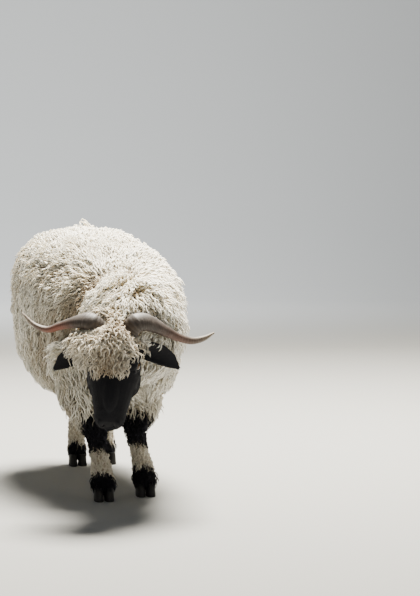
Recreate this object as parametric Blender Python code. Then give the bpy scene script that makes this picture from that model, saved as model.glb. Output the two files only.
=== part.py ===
"""A Valais Blacknose ewe, standing with her head low: a still, life-size model.

Metres, +Z up. She faces -Y, her left is +X, and the floor is z = 0. The trunk, neck,
tail and legs are made whole and parted by thin cuts, so the fleece runs on across them.
"""

import math
import random

import bmesh
import bpy
from mathutils import Matrix, Vector

# The fleece: its clumps stand on a core that lies part of the way out to their tips
CORE_DEPTH = 0.042
CLUMP_SPACING = 0.116
CLUMP_RADIUS = 0.067
CLUMP_SINK = 0.014
LEG_CORE_DEPTH = 0.011
TAIL_CORE_DEPTH = 0.015
SEED = 11

# The head: where its poll stands and how far it is turned from facing ahead
HEAD_PLACE = Vector((-0.059, -0.612, 0.505))
HEAD_PITCH = 68.0
HEAD_YAW = -12.0
HEAD_ROLL = 4.0
EYE_RADIUS = 0.0135
EYE_PLACE = Vector((0.0580, -0.104, 0.027))
CROWN_CORE_DEPTH = 0.020
CROWN_SHIFT = -0.024
EAR_THICKNESS = 0.004
EAR_WIDTHS = (0.017, 0.026, 0.027, 0.021, 0.004)

# The gap that pieces keep where they meet
GAP = 0.0003

# Trunk stations out to the tips of the fleece: y, middle x, half width, top, bottom
TRUNK = (
    (0.478, -0.044, 0.060, 0.650, 0.460),
    (0.458, -0.046, 0.135, 0.706, 0.385),
    (0.415, -0.048, 0.192, 0.746, 0.325),
    (0.350, -0.047, 0.222, 0.768, 0.290),
    (0.260, -0.042, 0.237, 0.774, 0.256),
    (0.130, -0.034, 0.241, 0.766, 0.230),
    (0.000, -0.022, 0.236, 0.750, 0.226),
    (-0.120, -0.012, 0.224, 0.732, 0.226),
    (-0.220, -0.002, 0.212, 0.710, 0.228),
    (-0.310, 0.004, 0.196, 0.682, 0.238),
    (-0.370, 0.008, 0.160, 0.645, 0.270),
    (-0.405, 0.008, 0.105, 0.595, 0.340),
)
# How square its outline is above and below its widest line, where 2 is an oval
BACK_SQUARENESS = 3.1
BELLY_SQUARENESS = 2.4

# Neck stations out to the tips: middle, half width, rise, drop
NECK = (
    ((0.006, -0.230, 0.540), 0.190, 0.160, 0.200),
    ((0.012, -0.320, 0.520), 0.184, 0.160, 0.190),
    ((0.016, -0.400, 0.500), 0.172, 0.166, 0.170),
    ((0.006, -0.470, 0.486), 0.156, 0.160, 0.150),
    ((-0.020, -0.530, 0.474), 0.136, 0.136, 0.134),
    ((-0.056, -0.590, 0.462), 0.116, 0.104, 0.120),
)

# Leg stations out to the tips of the wool: offset from the foot, half width, front, back
FRONT_LEG = (
    ((0.034, 0.070, 0.420), 0.090, 0.100, 0.110),
    ((0.030, 0.045, 0.330), 0.084, 0.084, 0.088),
    ((0.018, 0.018, 0.262), 0.076, 0.070, 0.074),
    ((0.008, 0.004, 0.224), 0.054, 0.050, 0.052),
    ((0.000, -0.003, 0.192), 0.037, 0.036, 0.038),
    ((0.000, 0.000, 0.160), 0.033, 0.033, 0.036),
    ((0.000, 0.003, 0.120), 0.032, 0.032, 0.036),
    ((0.000, 0.004, 0.085), 0.036, 0.036, 0.042),
    ((0.000, -0.004, 0.055), 0.037, 0.036, 0.040),
    ((0.000, -0.010, 0.0365), 0.034, 0.036, 0.034),
)
HIND_LEG = (
    ((0.045, -0.090, 0.480), 0.120, 0.140, 0.130),
    ((0.030, -0.020, 0.370), 0.086, 0.100, 0.085),
    ((0.012, 0.032, 0.305), 0.060, 0.064, 0.056),
    ((0.000, 0.050, 0.262), 0.038, 0.044, 0.040),
    ((0.000, 0.044, 0.222), 0.034, 0.036, 0.038),
    ((0.000, 0.028, 0.150), 0.032, 0.033, 0.035),
    ((0.000, 0.018, 0.090), 0.036, 0.036, 0.042),
    ((0.000, 0.006, 0.058), 0.037, 0.036, 0.042),
    ((0.000, -0.006, 0.0365), 0.034, 0.036, 0.034),
)
FEET = {
    "front_right": Vector((-0.065, -0.362, 0.0)),
    "front_left": Vector((0.065, -0.300, 0.0)),
    "hind_right": Vector((-0.052, 0.340, 0.0)),
    "hind_left": Vector((0.046, 0.362, 0.0)),
}
# How far each front leg leans towards her right at and above the knee
KNEE_LEAN = {"front_right": 0.022, "front_left": 0.030, "hind_right": 0.0, "hind_left": 0.0}

# Tail stations out to the tips: middle, half width, back, front
TAIL = (
    ((-0.044, 0.360, 0.640), 0.034, 0.032, 0.032),
    ((-0.044, 0.430, 0.672), 0.044, 0.038, 0.038),
    ((-0.044, 0.478, 0.640), 0.052, 0.038, 0.038),
    ((-0.044, 0.496, 0.565), 0.054, 0.036, 0.038),
    ((-0.044, 0.490, 0.485), 0.046, 0.032, 0.034),
    ((-0.044, 0.478, 0.420), 0.028, 0.020, 0.022),
)

# Skull stations in the head's own frame: distance from the poll, half width, rise, drop
SKULL = (
    (0.000, 0.048, 0.036, 0.056),
    (0.030, 0.059, 0.052, 0.080),
    (0.062, 0.065, 0.058, 0.092),
    (0.096, 0.074, 0.058, 0.092),
    (0.122, 0.074, 0.053, 0.089),
    (0.150, 0.067, 0.050, 0.079),
    (0.180, 0.056, 0.047, 0.063),
    (0.210, 0.0485, 0.042, 0.052),
    (0.234, 0.0440, 0.036, 0.046),
    (0.252, 0.0410, 0.027, 0.041),
    (0.264, 0.0350, 0.017, 0.036),
    (0.272, 0.0250, 0.006, 0.029),
)

# The wool on the crown in the head's own frame: distance from the poll, half width, rise, drop
CROWN = (
    (-0.036, 0.060, 0.026, 0.048),
    (-0.010, 0.086, 0.048, 0.078),
    (0.022, 0.102, 0.080, 0.090),
    (0.050, 0.106, 0.092, 0.088),
    (0.076, 0.094, 0.086, 0.076),
    (0.102, 0.058, 0.072, 0.030),
    (0.130, 0.034, 0.060, 0.018),
)

# Locks of the forelock: their roots' distance from the poll and places to the side, length
LOCK_ROWS = (
    (0.004, (0.018,), 0.060),
    (0.030, (-0.084, -0.050, -0.016, 0.018, 0.052, 0.084), 0.070),
    (0.054, (-0.072, -0.036, 0.0, 0.036, 0.072), 0.070),
    (0.080, (-0.040, 0.0, 0.040), 0.074),
)
# Locks this far out on her left end above the eye, where the photo shows black skin
SHORT_SIDE = 0.060
SHORT_SHARE = 0.62

HORN_RIGHT = ((-0.106, -0.621, 0.508), (-0.132, -0.627, 0.530), (-0.153, -0.609, 0.532),
              (-0.178, -0.587, 0.527), (-0.211, -0.562, 0.516), (-0.243, -0.546, 0.506),
              (-0.277, -0.530, 0.518), (-0.309, -0.515, 0.550))
HORN_LEFT = ((-0.032, -0.637, 0.504), (-0.012, -0.643, 0.527), (0.017, -0.627, 0.528),
             (0.047, -0.609, 0.516), (0.084, -0.590, 0.497), (0.118, -0.570, 0.480),
             (0.158, -0.552, 0.469), (0.195, -0.538, 0.474), (0.226, -0.526, 0.488))
HORN_WIDTHS = (0.027, 0.0275, 0.027, 0.022, 0.0160, 0.0125, 0.0105, 0.0075, 0.0030)
HORN_DEPTHS = (0.019, 0.0190, 0.018, 0.015, 0.0120, 0.0100, 0.0085, 0.0060, 0.0028)
HORN_RIDGE = 0.05

EAR_RIGHT = ((-0.128, -0.612, 0.456), (-0.160, -0.592, 0.444), (-0.194, -0.570, 0.424),
             (-0.226, -0.550, 0.396))
EAR_LEFT = ((-0.008, -0.634, 0.452), (0.034, -0.610, 0.444), (0.080, -0.586, 0.424),
            (0.120, -0.566, 0.394))

# Planes that part the neck: a point, and the side that the piece in front lies on
NECK_PLANE = (Vector((0.0, -0.335, 0.530)), Vector((0.0, -0.93, 0.36)).normalized())
HEAD_PLANE = (Vector((-0.050, -0.556, 0.455)), Vector((-0.24, -0.97, 0.0)).normalized())

# Boxes that part the legs and the tail from the trunk: low corner, high corner
REGIONS = {
    "leg_front_right": ((-0.300, -0.520, 0.0362), (-0.022, -0.180, 0.220)),
    "leg_front_left": ((-0.022, -0.520, 0.0362), (0.300, -0.180, 0.220)),
    "leg_hind_right": ((-0.300, 0.315, 0.0362), (-0.003, 0.520, 0.286)),
    "leg_hind_left": ((-0.003, 0.315, 0.0362), (0.300, 0.520, 0.286)),
    "tail": ((-0.104, 0.450, 0.380), (0.016, 0.600, 0.780)),
}


def clear_scene():
    for old in list(bpy.data.objects):
        bpy.data.objects.remove(old, do_unlink=True)


def new_collection(name):
    made = bpy.data.collections.new(name)
    bpy.context.scene.collection.children.link(made)
    return made


def material(name, colour, roughness):
    made = bpy.data.materials.new(name)
    made.use_nodes = True
    shader = made.node_tree.nodes["Principled BSDF"]
    shader.inputs["Base Color"].default_value = (*colour, 1.0)
    shader.inputs["Roughness"].default_value = roughness
    return made


class Ring:
    """One cross-section of a loft: an oval that may rise and drop by unlike amounts."""

    def __init__(self, centre, across, up, width, rise, drop=None, power=2.0):
        self.centre = Vector(centre)
        self.across = Vector(across).normalized()
        self.up = Vector(up).normalized()
        self.width = width
        self.rise = rise
        self.drop = rise if drop is None else drop
        self.power = power
        self.low_power = power

    def point(self, turn):
        """The ring's point at this angle: 0 is the left side, a quarter turn the top."""
        side, lift = math.cos(turn), math.sin(turn)
        power = self.power if lift > 0 else self.low_power
        side = math.copysign(abs(side) ** (2 / power), side)
        lift = math.copysign(abs(lift) ** (2 / power), lift)
        reach = self.rise if lift > 0 else self.drop
        return self.centre + self.across * side * self.width + self.up * lift * reach


def mesh_object(name, shape):
    """A closed, outward-facing object of triangles from a bmesh, which it frees."""
    bmesh.ops.recalc_face_normals(shape, faces=shape.faces)
    bmesh.ops.triangulate(shape, faces=shape.faces)
    if shape.calc_volume(signed=True) < 0:
        bmesh.ops.reverse_faces(shape, faces=shape.faces)
    mesh = bpy.data.meshes.new(name)
    shape.to_mesh(mesh)
    shape.free()
    return bpy.data.objects.new(name, mesh)


def loft(name, rings, sides, start_dome=0.0, end_dome=0.0):
    """A closed skin over the rings. The domes push each end's middle point outwards."""
    shape = bmesh.new()
    loops = []
    for ring in rings:
        turns = [2 * math.pi * k / sides for k in range(sides)]
        loops.append([shape.verts.new(ring.point(turn)) for turn in turns])
    for low, high in zip(loops, loops[1:]):
        for k in range(sides):
            following = (k + 1) % sides
            shape.faces.new((low[k], low[following], high[following], high[k]))
    ends = ((loops[0], rings[0], rings[1], start_dome),
            (loops[-1], rings[-1], rings[-2], end_dome))
    for loop, ring, neighbour, dome in ends:
        outwards = (ring.centre - neighbour.centre).normalized()
        pole = shape.verts.new(ring.centre + outwards * dome)
        for k in range(sides):
            shape.faces.new((loop[(k + 1) % sides], loop[k], pole))
    return mesh_object(name, shape)


def smooth_path(points, steps):
    """Catmull-Rom points through the given ones, with this many steps from one to the next."""
    points = [Vector(point) for point in points]
    padded = [2 * points[0] - points[1], *points, 2 * points[-1] - points[-2]]
    path = []
    for i in range(1, len(padded) - 2):
        before, start, end, after = padded[i - 1:i + 3]
        for k in range(steps):
            t = k / steps
            path.append(0.5 * (2 * start + (end - before) * t
                               + (2 * before - 5 * start + 4 * end - after) * t * t
                               + (3 * start - before - 3 * end + after) * t ** 3))
    return [*path, points[-1]]


def sampled(values, share):
    """The value at this share of the way along a list, in straight lines between its entries."""
    place = min(max(share, 0.0), 1.0) * (len(values) - 1)
    low = min(int(place), len(values) - 2)
    return values[low] + (values[low + 1] - values[low]) * (place - low)


def rings_along(path, widths, depths, across, twist=0.0):
    """Rings square to a path. Their width starts along `across` and turns by `twist` degrees."""
    rings = []
    side = Vector(across).normalized()
    for i, centre in enumerate(path):
        ahead = (path[min(i + 1, len(path) - 1)] - path[max(i - 1, 0)]).normalized()
        side = (side - ahead * side.dot(ahead)).normalized()
        share = i / (len(path) - 1)
        turned = Matrix.Rotation(math.radians(twist) * share, 3, ahead) @ side
        rings.append(Ring(centre, turned, ahead.cross(turned),
                          sampled(widths, share), sampled(depths, share)))
    return rings


def rings_through(stations, across=(1, 0, 0), grow=0.0):
    """Rings square to the line through the stations' middles."""
    middles = [Vector(station[0]) for station in stations]
    rings = []
    for i, (centre, width, rise, drop) in enumerate(stations):
        ahead = (middles[min(i + 1, len(middles) - 1)] - middles[max(i - 1, 0)]).normalized()
        side = Vector(across) - ahead * Vector(across).dot(ahead)
        rings.append(Ring(centre, side, ahead.cross(side.normalized()),
                          width + grow, rise + grow, drop + grow))
    return rings


def apply_boolean(obj, operation, operand, solver="EXACT"):
    """Joins or cuts by an object or a whole collection, and applies it."""
    step = obj.modifiers.new(operation.title(), "BOOLEAN")
    step.operation = operation
    step.solver = solver
    if isinstance(operand, bpy.types.Collection):
        step.operand_type = "COLLECTION"
        step.collection = operand
    else:
        step.object = operand
    graph = bpy.context.evaluated_depsgraph_get()
    mesh = bpy.data.meshes.new_from_object(obj.evaluated_get(graph))
    obj.modifiers.clear()
    obj.data = mesh


def keep_largest(obj):
    """Keeps the closed surface that spans the most, and drops scraps and sealed hollows."""
    shape = bmesh.new()
    shape.from_mesh(obj.data)
    unseen = set(shape.verts)
    groups = []
    while unseen:
        group, front = set(), [unseen.pop()]
        while front:
            vert = front.pop()
            group.add(vert)
            for edge in vert.link_edges:
                other = edge.other_vert(vert)
                if other in unseen:
                    unseen.remove(other)
                    front.append(other)
        groups.append(group)

    def span(group):
        return sum(max(v.co[i] for v in group) - min(v.co[i] for v in group) for i in range(3))

    best = max(groups, key=span)
    bmesh.ops.delete(shape, geom=[v for v in shape.verts if v not in best], context="VERTS")
    shape.to_mesh(obj.data)
    shape.free()


def joined(name, pieces, solver="EXACT"):
    """One closed surface out of closed pieces that overlap, in a single union."""
    first, *others = pieces
    bpy.context.scene.collection.objects.link(first)
    holder = new_collection("joining " + name)
    for piece in others:
        holder.objects.link(piece)
    apply_boolean(first, "UNION", holder, solver)
    for piece in others:
        bpy.data.objects.remove(piece, do_unlink=True)
    bpy.data.collections.remove(holder)
    keep_largest(first)
    first.name = name
    return first


def copy_of(obj, name):
    made = bpy.data.objects.new(name, obj.data.copy())
    bpy.context.scene.collection.objects.link(made)
    return made


def cut_by(obj, cutter, operation="DIFFERENCE"):
    """Cuts once and removes the cutter."""
    if not cutter.users_collection:
        bpy.context.scene.collection.objects.link(cutter)
    apply_boolean(obj, operation, cutter)
    bpy.data.objects.remove(cutter, do_unlink=True)


def part_at(obj, point, away):
    """Cuts by a plane and keeps the side that `away` points to."""
    block = box((-1.5, -1.5, -3.0), (1.5, 1.5, 0.0))
    turn = away.to_track_quat("Z", "Y").to_matrix().to_4x4()
    block.data.transform(Matrix.Translation(point) @ turn)
    cut_by(obj, block)


def box(low, high):
    shape = bmesh.new()
    bmesh.ops.create_cube(shape, size=1.0)
    for vert in shape.verts:
        vert.co = Vector([low[i] if vert.co[i] < 0 else high[i] for i in range(3)])
    return mesh_object("box", shape)


def ball(centre, sizes, turn=None, segments=10, rings=6):
    """An egg-shaped piece: its three half sizes, turned by a matrix."""
    shape = bmesh.new()
    bmesh.ops.create_uvsphere(shape, u_segments=segments, v_segments=rings, radius=1.0)
    for vert in shape.verts:
        vert.co = Vector([vert.co[i] * sizes[i] for i in range(3)])
    place = Matrix.Translation(centre) @ (turn or Matrix.Identity(4))
    bmesh.ops.transform(shape, matrix=place, verts=shape.verts)
    return mesh_object("ball", shape)


def surface_point(rings, along, turn):
    """A point on the loft, its outward direction and its direction ahead."""
    place = min(max(along, 0.0), 1.0) * (len(rings) - 1)
    low = min(int(place), len(rings) - 2)
    share = place - low
    point = rings[low].point(turn).lerp(rings[low + 1].point(turn), share)
    near = rings[low].point(turn + 0.02).lerp(rings[low + 1].point(turn + 0.02), share)
    ahead = (rings[low + 1].point(turn) - rings[low].point(turn)).normalized()
    return point, (near - point).cross(ahead).normalized(), ahead


def outline_lengths(ring, steps=96):
    """The lengths of equal turns round the ring's outline."""
    points = [ring.point(2 * math.pi * k / steps) for k in range(steps + 1)]
    return [(after - before).length for before, after in zip(points, points[1:])]


def even_turn(lengths, share):
    """The angle at this share of the way round an outline, measured along it."""
    left = (share % 1.0) * sum(lengths)
    for k, length in enumerate(lengths):
        if left <= length:
            return 2 * math.pi * (k + left / length) / len(lengths)
        left -= length
    return 2 * math.pi


def clump(root, outwards, lie, height, radius, turn):
    """A rounded clump: it swells out of the core and droops along the coat's lie."""
    shape = bmesh.new()
    bmesh.ops.create_icosphere(shape, subdivisions=1, radius=1.0,
                               matrix=Matrix.Rotation(turn, 4, "Z"))
    across = outwards.cross(lie).normalized()
    tall = (height + CLUMP_SINK) / 2
    for vert in shape.verts:
        side, down, out = vert.co
        droop = 0.55 * radius * max(out, 0.0) ** 2
        vert.co = (root + outwards * (height - tall + out * tall) + across * side * radius
                   + lie * (down * radius * 1.08 + droop))
    return mesh_object("clump", shape)


def even_rows(rings, spacing):
    """Places along a loft, from 0 to 1, that lie about this far apart on its surface."""
    turns = [math.pi * k / 4 for k in range(8)]
    steps = [sum((b.point(turn) - a.point(turn)).length for turn in turns) / len(turns)
             for a, b in zip(rings, rings[1:])]
    rows = max(2, round(sum(steps) / spacing))
    places = []
    for row in range(rows + 1):
        left = min(row / rows, 0.9999) * sum(steps)
        i = 0
        while left > steps[i]:
            left -= steps[i]
            i += 1
        places.append((i + left / steps[i]) / len(steps))
    return places


def clumps_over(rings, chance, spacing, radius, height, lie_at, wanted, least=5):
    """Rows of clumps over a loft, each row shifted half a step from the one before."""
    made = []
    rows = even_rows(rings, spacing)
    for row, along in enumerate(rows):
        ring = rings[round(along * (len(rings) - 1))]
        lengths = outline_lengths(ring)
        count = max(least, round(sum(lengths) / spacing))
        for k in range(count):
            share = (k + 0.5 * (row % 2) + chance.uniform(-0.10, 0.10)) / count
            turn = even_turn(lengths, share)
            place = along + chance.uniform(-0.12, 0.12) / len(rows)
            point, outwards, ahead = surface_point(rings, place, turn)
            if not wanted(point, outwards):
                continue
            lie = lie_at(point)
            lie = lie - outwards * lie.dot(outwards)
            lie = lie.normalized() if lie.length > 0.05 else ahead
            size = radius * chance.uniform(0.92, 1.10)
            made.append(clump(point, outwards, lie, height * chance.uniform(0.92, 1.16),
                              size, chance.uniform(0.0, 1.2)))
    return made


def trunk_rings(grow=0.0):
    stations = []
    rear, front = TRUNK[0][0], TRUNK[-1][0]
    for y, x, width, top, bottom in TRUNK:
        middle = (top + bottom) / 2
        inwards = grow * (2 * (y - front) / (rear - front) - 1)
        stations.append(((x, y + inwards, middle), width, top - middle, middle - bottom))
    rings = rings_through(stations, grow=grow)
    for ring in rings:
        ring.up = Vector((0, 0, 1))
        ring.across = Vector((1, 0, 0))
        ring.power = BACK_SQUARENESS
        ring.low_power = BELLY_SQUARENESS
    return rings


def leg_rings(place, grow=0.0):
    foot = FEET[place]
    outwards = -1 if "right" in place else 1
    table = FRONT_LEG if "front" in place else HIND_LEG
    stations = []
    for (x, y, z), width, rise, drop in table:
        lean = KNEE_LEAN[place] * min(max((z - 0.06) / 0.14, 0.0), 1.0)
        less = grow * min(max((z - 0.20) / 0.06, 0.0), 1.0) * 2 + grow
        stations.append((foot + Vector((outwards * x - lean, y, z)),
                         width + less, rise + less, drop + less))
    rings = rings_through(stations)
    rings[-1].up = Vector((0, -1, 0))
    rings[-1].across = Vector((1, 0, 0))
    return rings


def trunk_lie(point):
    """The fleece falls away from the line of the back, and a little towards the tail."""
    return Vector((0.5 if point.x > -0.02 else -0.5, 0.35, -1.0))


def falling(point):
    return Vector((0.0, 0.1, -1.0))


def fleece_pieces(chance):
    """The cores of the trunk, neck, tail and legs, with the clumps on them."""
    body = trunk_rings(-CORE_DEPTH)
    throat = rings_through(NECK, grow=-CORE_DEPTH)
    brush = rings_through(TAIL, grow=-TAIL_CORE_DEPTH)
    point, front = NECK_PLANE
    pieces = [loft("trunk", body, 12, 0.012, 0.012), loft("neck", throat, 10),
              loft("tail", brush, 8, 0.0, 0.008)]

    def on_trunk(place, outwards):
        under_tail = place.y > 0.40 and abs(place.x + 0.040) < 0.085 and place.z > 0.40
        behind_neck = (place - point).dot(front) < 0.030
        return behind_neck and not under_tail

    def on_neck(place, outwards):
        return (place - point).dot(front) > -0.010

    pieces += clumps_over(body, chance, CLUMP_SPACING, CLUMP_RADIUS, CORE_DEPTH,
                          trunk_lie, on_trunk)
    pieces += clumps_over(throat, chance, CLUMP_SPACING * 0.95, CLUMP_RADIUS * 0.95,
                          CORE_DEPTH, trunk_lie, on_neck)
    pieces += clumps_over(brush, chance, 0.075, 0.038, 0.015, falling,
                          lambda place, outwards: outwards.y > -0.3 and place.y > 0.45, 4)
    for name in FEET:
        limb = leg_rings(name, -LEG_CORE_DEPTH)
        pieces.append(loft("leg", limb, 8))
        pieces += clumps_over(limb[3:-1], chance, 0.072, 0.036, LEG_CORE_DEPTH, falling,
                              lambda place, outwards: place.z > 0.072, 3)
    return pieces


def head_matrix():
    turn = (Matrix.Rotation(math.radians(HEAD_YAW), 4, "Z")
            @ Matrix.Rotation(math.radians(HEAD_ROLL), 4, "Y")
            @ Matrix.Rotation(math.radians(HEAD_PITCH), 4, "X"))
    return Matrix.Translation(HEAD_PLACE) @ turn


def head_rings(table, grow=0.0, shift=0.0):
    return [Ring((shift, -ahead, 0), (1, 0, 0), (0, 0, 1), width + grow, rise + grow, drop + grow)
            for ahead, width, rise, drop in table]


def forelock(chance):
    """Flat tapered locks over the crown: each bends down over the one below it."""
    rings = head_rings(CROWN, -CROWN_CORE_DEPTH, CROWN_SHIFT)
    locks = []
    for ahead, sides, length in LOCK_ROWS:
        for side in sides:
            low = max(i for i in range(len(CROWN)) if CROWN[i][0] <= ahead)
            low = min(low, len(CROWN) - 2)
            share = (ahead - CROWN[low][0]) / (CROWN[low + 1][0] - CROWN[low][0])
            along = (low + share) / (len(CROWN) - 1)
            width = rings[low].width
            turn = math.acos(max(-0.95, min(0.95, side / width)))
            turn += chance.uniform(-0.05, 0.05)
            point, outwards, _ = surface_point(rings, along, turn)
            lie = Vector((side * 0.5 + chance.uniform(-0.02, 0.02), -0.070, 0.0)).normalized()
            lie = (lie - outwards * lie.dot(outwards)).normalized()
            reach = length * chance.uniform(0.9, 1.12)
            if side > SHORT_SIDE and ahead > 0.05:
                reach *= SHORT_SHARE
            lift = CROWN_CORE_DEPTH * chance.uniform(0.9, 1.1)
            path = [point - outwards * 0.010 - lie * 0.10 * reach,
                    point + outwards * 0.55 * lift + lie * 0.15 * reach,
                    point + outwards * 0.75 * lift + lie * 0.55 * reach,
                    point + outwards * 0.10 * lift + lie * 1.00 * reach]
            across = outwards.cross(lie)
            rings_here = rings_along(path, (0.019, 0.025, 0.021, 0.008),
                                     (0.007, 0.010, 0.009, 0.004), across)
            locks.append(loft("lock", rings_here, 4, 0.0, 0.006))
    return locks


def crown_clumps(chance):
    """The curls on the poll and cheeks, where the wool stands off all round."""
    rings = head_rings(CROWN, -CROWN_CORE_DEPTH, CROWN_SHIFT)

    def off_forehead(place, outwards):
        return outwards.z < 0.25 and place.y > -0.080

    def backwards(place):
        return Vector((0.0, -0.6, -0.6))

    return clumps_over(rings[:5], chance, 0.088, 0.051, CROWN_CORE_DEPTH, backwards,
                       off_forehead)


def eyelids(side):
    """Two fleshy rims over the eyeball that meet at the corners."""
    made = []
    centre = Vector((side * EYE_PLACE.x, EYE_PLACE.y, EYE_PLACE.z))
    gaze = Vector((side * 0.93, -0.22, 0.30)).normalized()
    length = Vector((0, -1, 0))
    length = (length - gaze * length.dot(gaze)).normalized()
    up = gaze.cross(length) * side * -1
    up = up if up.z > 0 else -up
    for lift, size, reach in ((1, 0.0052, 0.0190), (-1, 0.0042, 0.0168)):
        path = []
        for k in range(5):
            turn = math.pi * k / 4
            rim = length * -math.cos(turn) * reach + up * lift * math.sin(turn) * 0.0080
            bulge = 0.0040 + 0.0062 * math.sin(turn)
            path.append(centre + rim + gaze * bulge)
        sizes = (0.0030, size, size, 0.0030)
        made.append(loft("lid", rings_along(path, sizes, sizes, gaze), 4))
    return made


def mouth_cutter():
    """A thin curved wedge round the front of the muzzle, under its fullest line."""
    shape = bmesh.new()
    rows = []
    for k in range(10):
        turn = math.pi * (k / 9 - 0.5) * 2
        spread = math.sin(turn / 2)
        ahead = 0.2745 - 0.062 * abs(spread) ** 2.6
        half = 0.0010 + 0.0004 * math.cos(turn / 2)
        middle = -0.0150 - 0.006 * abs(spread) ** 2
        x = 0.0480 * spread
        row = []
        for inset, lift in ((-0.006, half), (-0.006, -half), (0.0058, -0.0003), (0.0058, 0.0003)):
            across = Vector((x, -ahead, middle)) - Vector((0, -0.215, middle))
            inwards = -across.normalized()
            row.append(shape.verts.new(Vector((x, -ahead, middle + lift)) + inwards * inset))
        rows.append(row)
    for low, high in zip(rows, rows[1:]):
        for k in range(4):
            following = (k + 1) % 4
            shape.faces.new((low[k], low[following], high[following], high[k]))
    shape.faces.new(rows[0])
    shape.faces.new(rows[-1][::-1])
    return mesh_object("mouth", shape)


def nostril_cutter(side):
    """A slanting comma-shaped pit."""
    turn = Matrix.Rotation(math.radians(side * -38), 4, "Y")
    turn = Matrix.Rotation(math.radians(side * 24), 4, "Z") @ turn
    return ball((side * 0.0165, -0.2675, 0.0035), (0.0040, 0.0085, 0.0085), turn, 7, 5)


def head_shape(chance):
    skull = loft("skull", head_rings(SKULL), 20, 0.0, 0.004)
    crown = loft("crown", head_rings(CROWN, -CROWN_CORE_DEPTH, CROWN_SHIFT), 12, 0.0, 0.006)
    lips = [ball((0, -0.2635, -0.0260), (0.0200, 0.0125, 0.0100), None, 8, 4),
            ball((0, -0.2670, -0.0015), (0.0225, 0.0100, 0.0130), None, 8, 4)]
    wings = [ball((side * 0.0215, -0.2590, 0.0075), (0.0105, 0.0150, 0.0110), None, 7, 5)
             for side in (-1, 1)]
    lids = [*eyelids(-1), *eyelids(1)]
    head = joined("head", [skull, crown, *lips, *wings, *lids, *forelock(chance),
                           *crown_clumps(chance)])
    cut_by(head, mouth_cutter())
    for side in (-1, 1):
        cut_by(head, nostril_cutter(side))
    head.data.transform(head_matrix())
    return head


def eye(side, grow=0.0):
    size = EYE_RADIUS + grow
    made = ball((side * EYE_PLACE.x, EYE_PLACE.y, EYE_PLACE.z), (size, size, size), None, 10, 7)
    made.data.transform(head_matrix())
    return made


def claw(foot, side):
    """One claw of a hoof: flat below, with its toe ahead of its coronet."""
    levels = ((0.0, -0.010, 0.0135, 0.034, 0.026), (0.012, -0.009, 0.0135, 0.031, 0.026),
              (0.0362, -0.010, 0.0120, 0.022, 0.023))
    rings = []
    for z, y, width, front, back in levels:
        centre = foot + Vector((side * 0.0148, y, z))
        rings.append(Ring(centre, (1, 0, 0), (0, -1, 0), width, front, back, 2.4))
    return loft("claw", rings, 12)


def ear_rows(path, side, half_wall, grow):
    """The outer and the inner points of a cupped leaf, in rows from its root to its tip."""
    steps, spread = 7, 5
    line = smooth_path(path, 3)
    layers = ([], [])
    for i in range(steps + 1):
        share = i / steps
        place = share * (len(line) - 1)
        low = min(int(place), len(line) - 2)
        ahead = (line[low + 1] - line[low]).normalized()
        centre = line[low].lerp(line[low + 1], place - low)
        if i in (0, steps):
            centre = centre + ahead * (grow if i else -grow)
        up = (Vector((0, 0, 1)) - ahead * ahead.z).normalized()
        front = ahead.cross(up) * side
        cup = sampled((1.25, 1.10, 0.85, 0.60, 0.35), share)
        reach = (sampled(EAR_WIDTHS, share) + grow) / math.sin(cup)
        for layer, rows in enumerate(layers):
            radius = reach + (-half_wall if layer else half_wall)
            row = []
            for k in range(spread + 1):
                turn = (k / spread - 0.5) * 2 * cup
                offset = up * math.sin(turn) * radius
                offset -= front * (math.cos(turn) * radius - reach)
                row.append(centre + offset)
            rows.append(row)
    return layers


def ear(path, side, grow=0.0):
    """A cup-shaped leaf, open forwards, split into the same triangles on both faces."""
    outer, inner = ear_rows(path, side, EAR_THICKNESS / 2 + grow, grow)
    shape = bmesh.new()
    outer = [[shape.verts.new(point) for point in row] for row in outer]
    inner = [[shape.verts.new(point) for point in row] for row in inner]
    for rows, flip in ((outer, False), (inner, True)):
        for low, high in zip(rows, rows[1:]):
            for k in range(len(low) - 1):
                pair = ((low[k], low[k + 1], high[k + 1]), (low[k], high[k + 1], high[k]))
                for corners in pair:
                    shape.faces.new(corners[::-1] if flip else corners)

    def rim(rows):
        return [*rows[0], *[row[-1] for row in rows[1:]], *rows[-1][-2::-1],
                *[row[0] for row in rows[-2:0:-1]]]

    for (a, b), (c, d) in zip(zip(rim(outer), rim(outer)[1:] + rim(outer)[:1]),
                              zip(rim(inner), rim(inner)[1:] + rim(inner)[:1])):
        shape.faces.new((a, c, d, b))
    return mesh_object("ear", shape)


def horn(path, grow=0.0):
    """A flat horn that twists on its way out, with growth ridges round it."""
    line = smooth_path(path, 2)
    line[0] = line[0] - (line[1] - line[0]).normalized() * grow
    rings = rings_along(line, HORN_WIDTHS, HORN_DEPTHS, (0, 0.3, 1), 40)
    for i, ring in enumerate(rings[:-3]):
        swell = 1 + HORN_RIDGE * (i % 2)
        ring.width *= swell
        ring.rise *= swell
        ring.drop *= swell
    for ring in rings:
        ring.width += grow
        ring.rise += grow
        ring.drop += grow
    return loft("horn", rings, 9, 0.0, 0.003 + grow)


def finish_node(obj, name, finish, collection, smooth_angle=66):
    obj.name = name
    obj.data.name = name
    obj.data.materials.clear()
    obj.data.materials.append(finish)
    for holder in list(obj.users_collection):
        holder.objects.unlink(obj)
    collection.objects.link(obj)
    obj.data.shade_smooth()
    obj.data.set_sharp_from_angle(angle=math.radians(smooth_angle))


def centre_on_floor(collection):
    """Moves the nodes together so that the middle of their box stands over the origin."""
    points = [vert.co for obj in collection.objects for vert in obj.data.vertices]
    low = [min(point[i] for point in points) for i in range(3)]
    high = [max(point[i] for point in points) for i in range(3)]
    shift = Vector((-(low[0] + high[0]) / 2, -(low[1] + high[1]) / 2, -low[2]))
    for obj in collection.objects:
        obj.data.transform(Matrix.Translation(shift))


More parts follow.
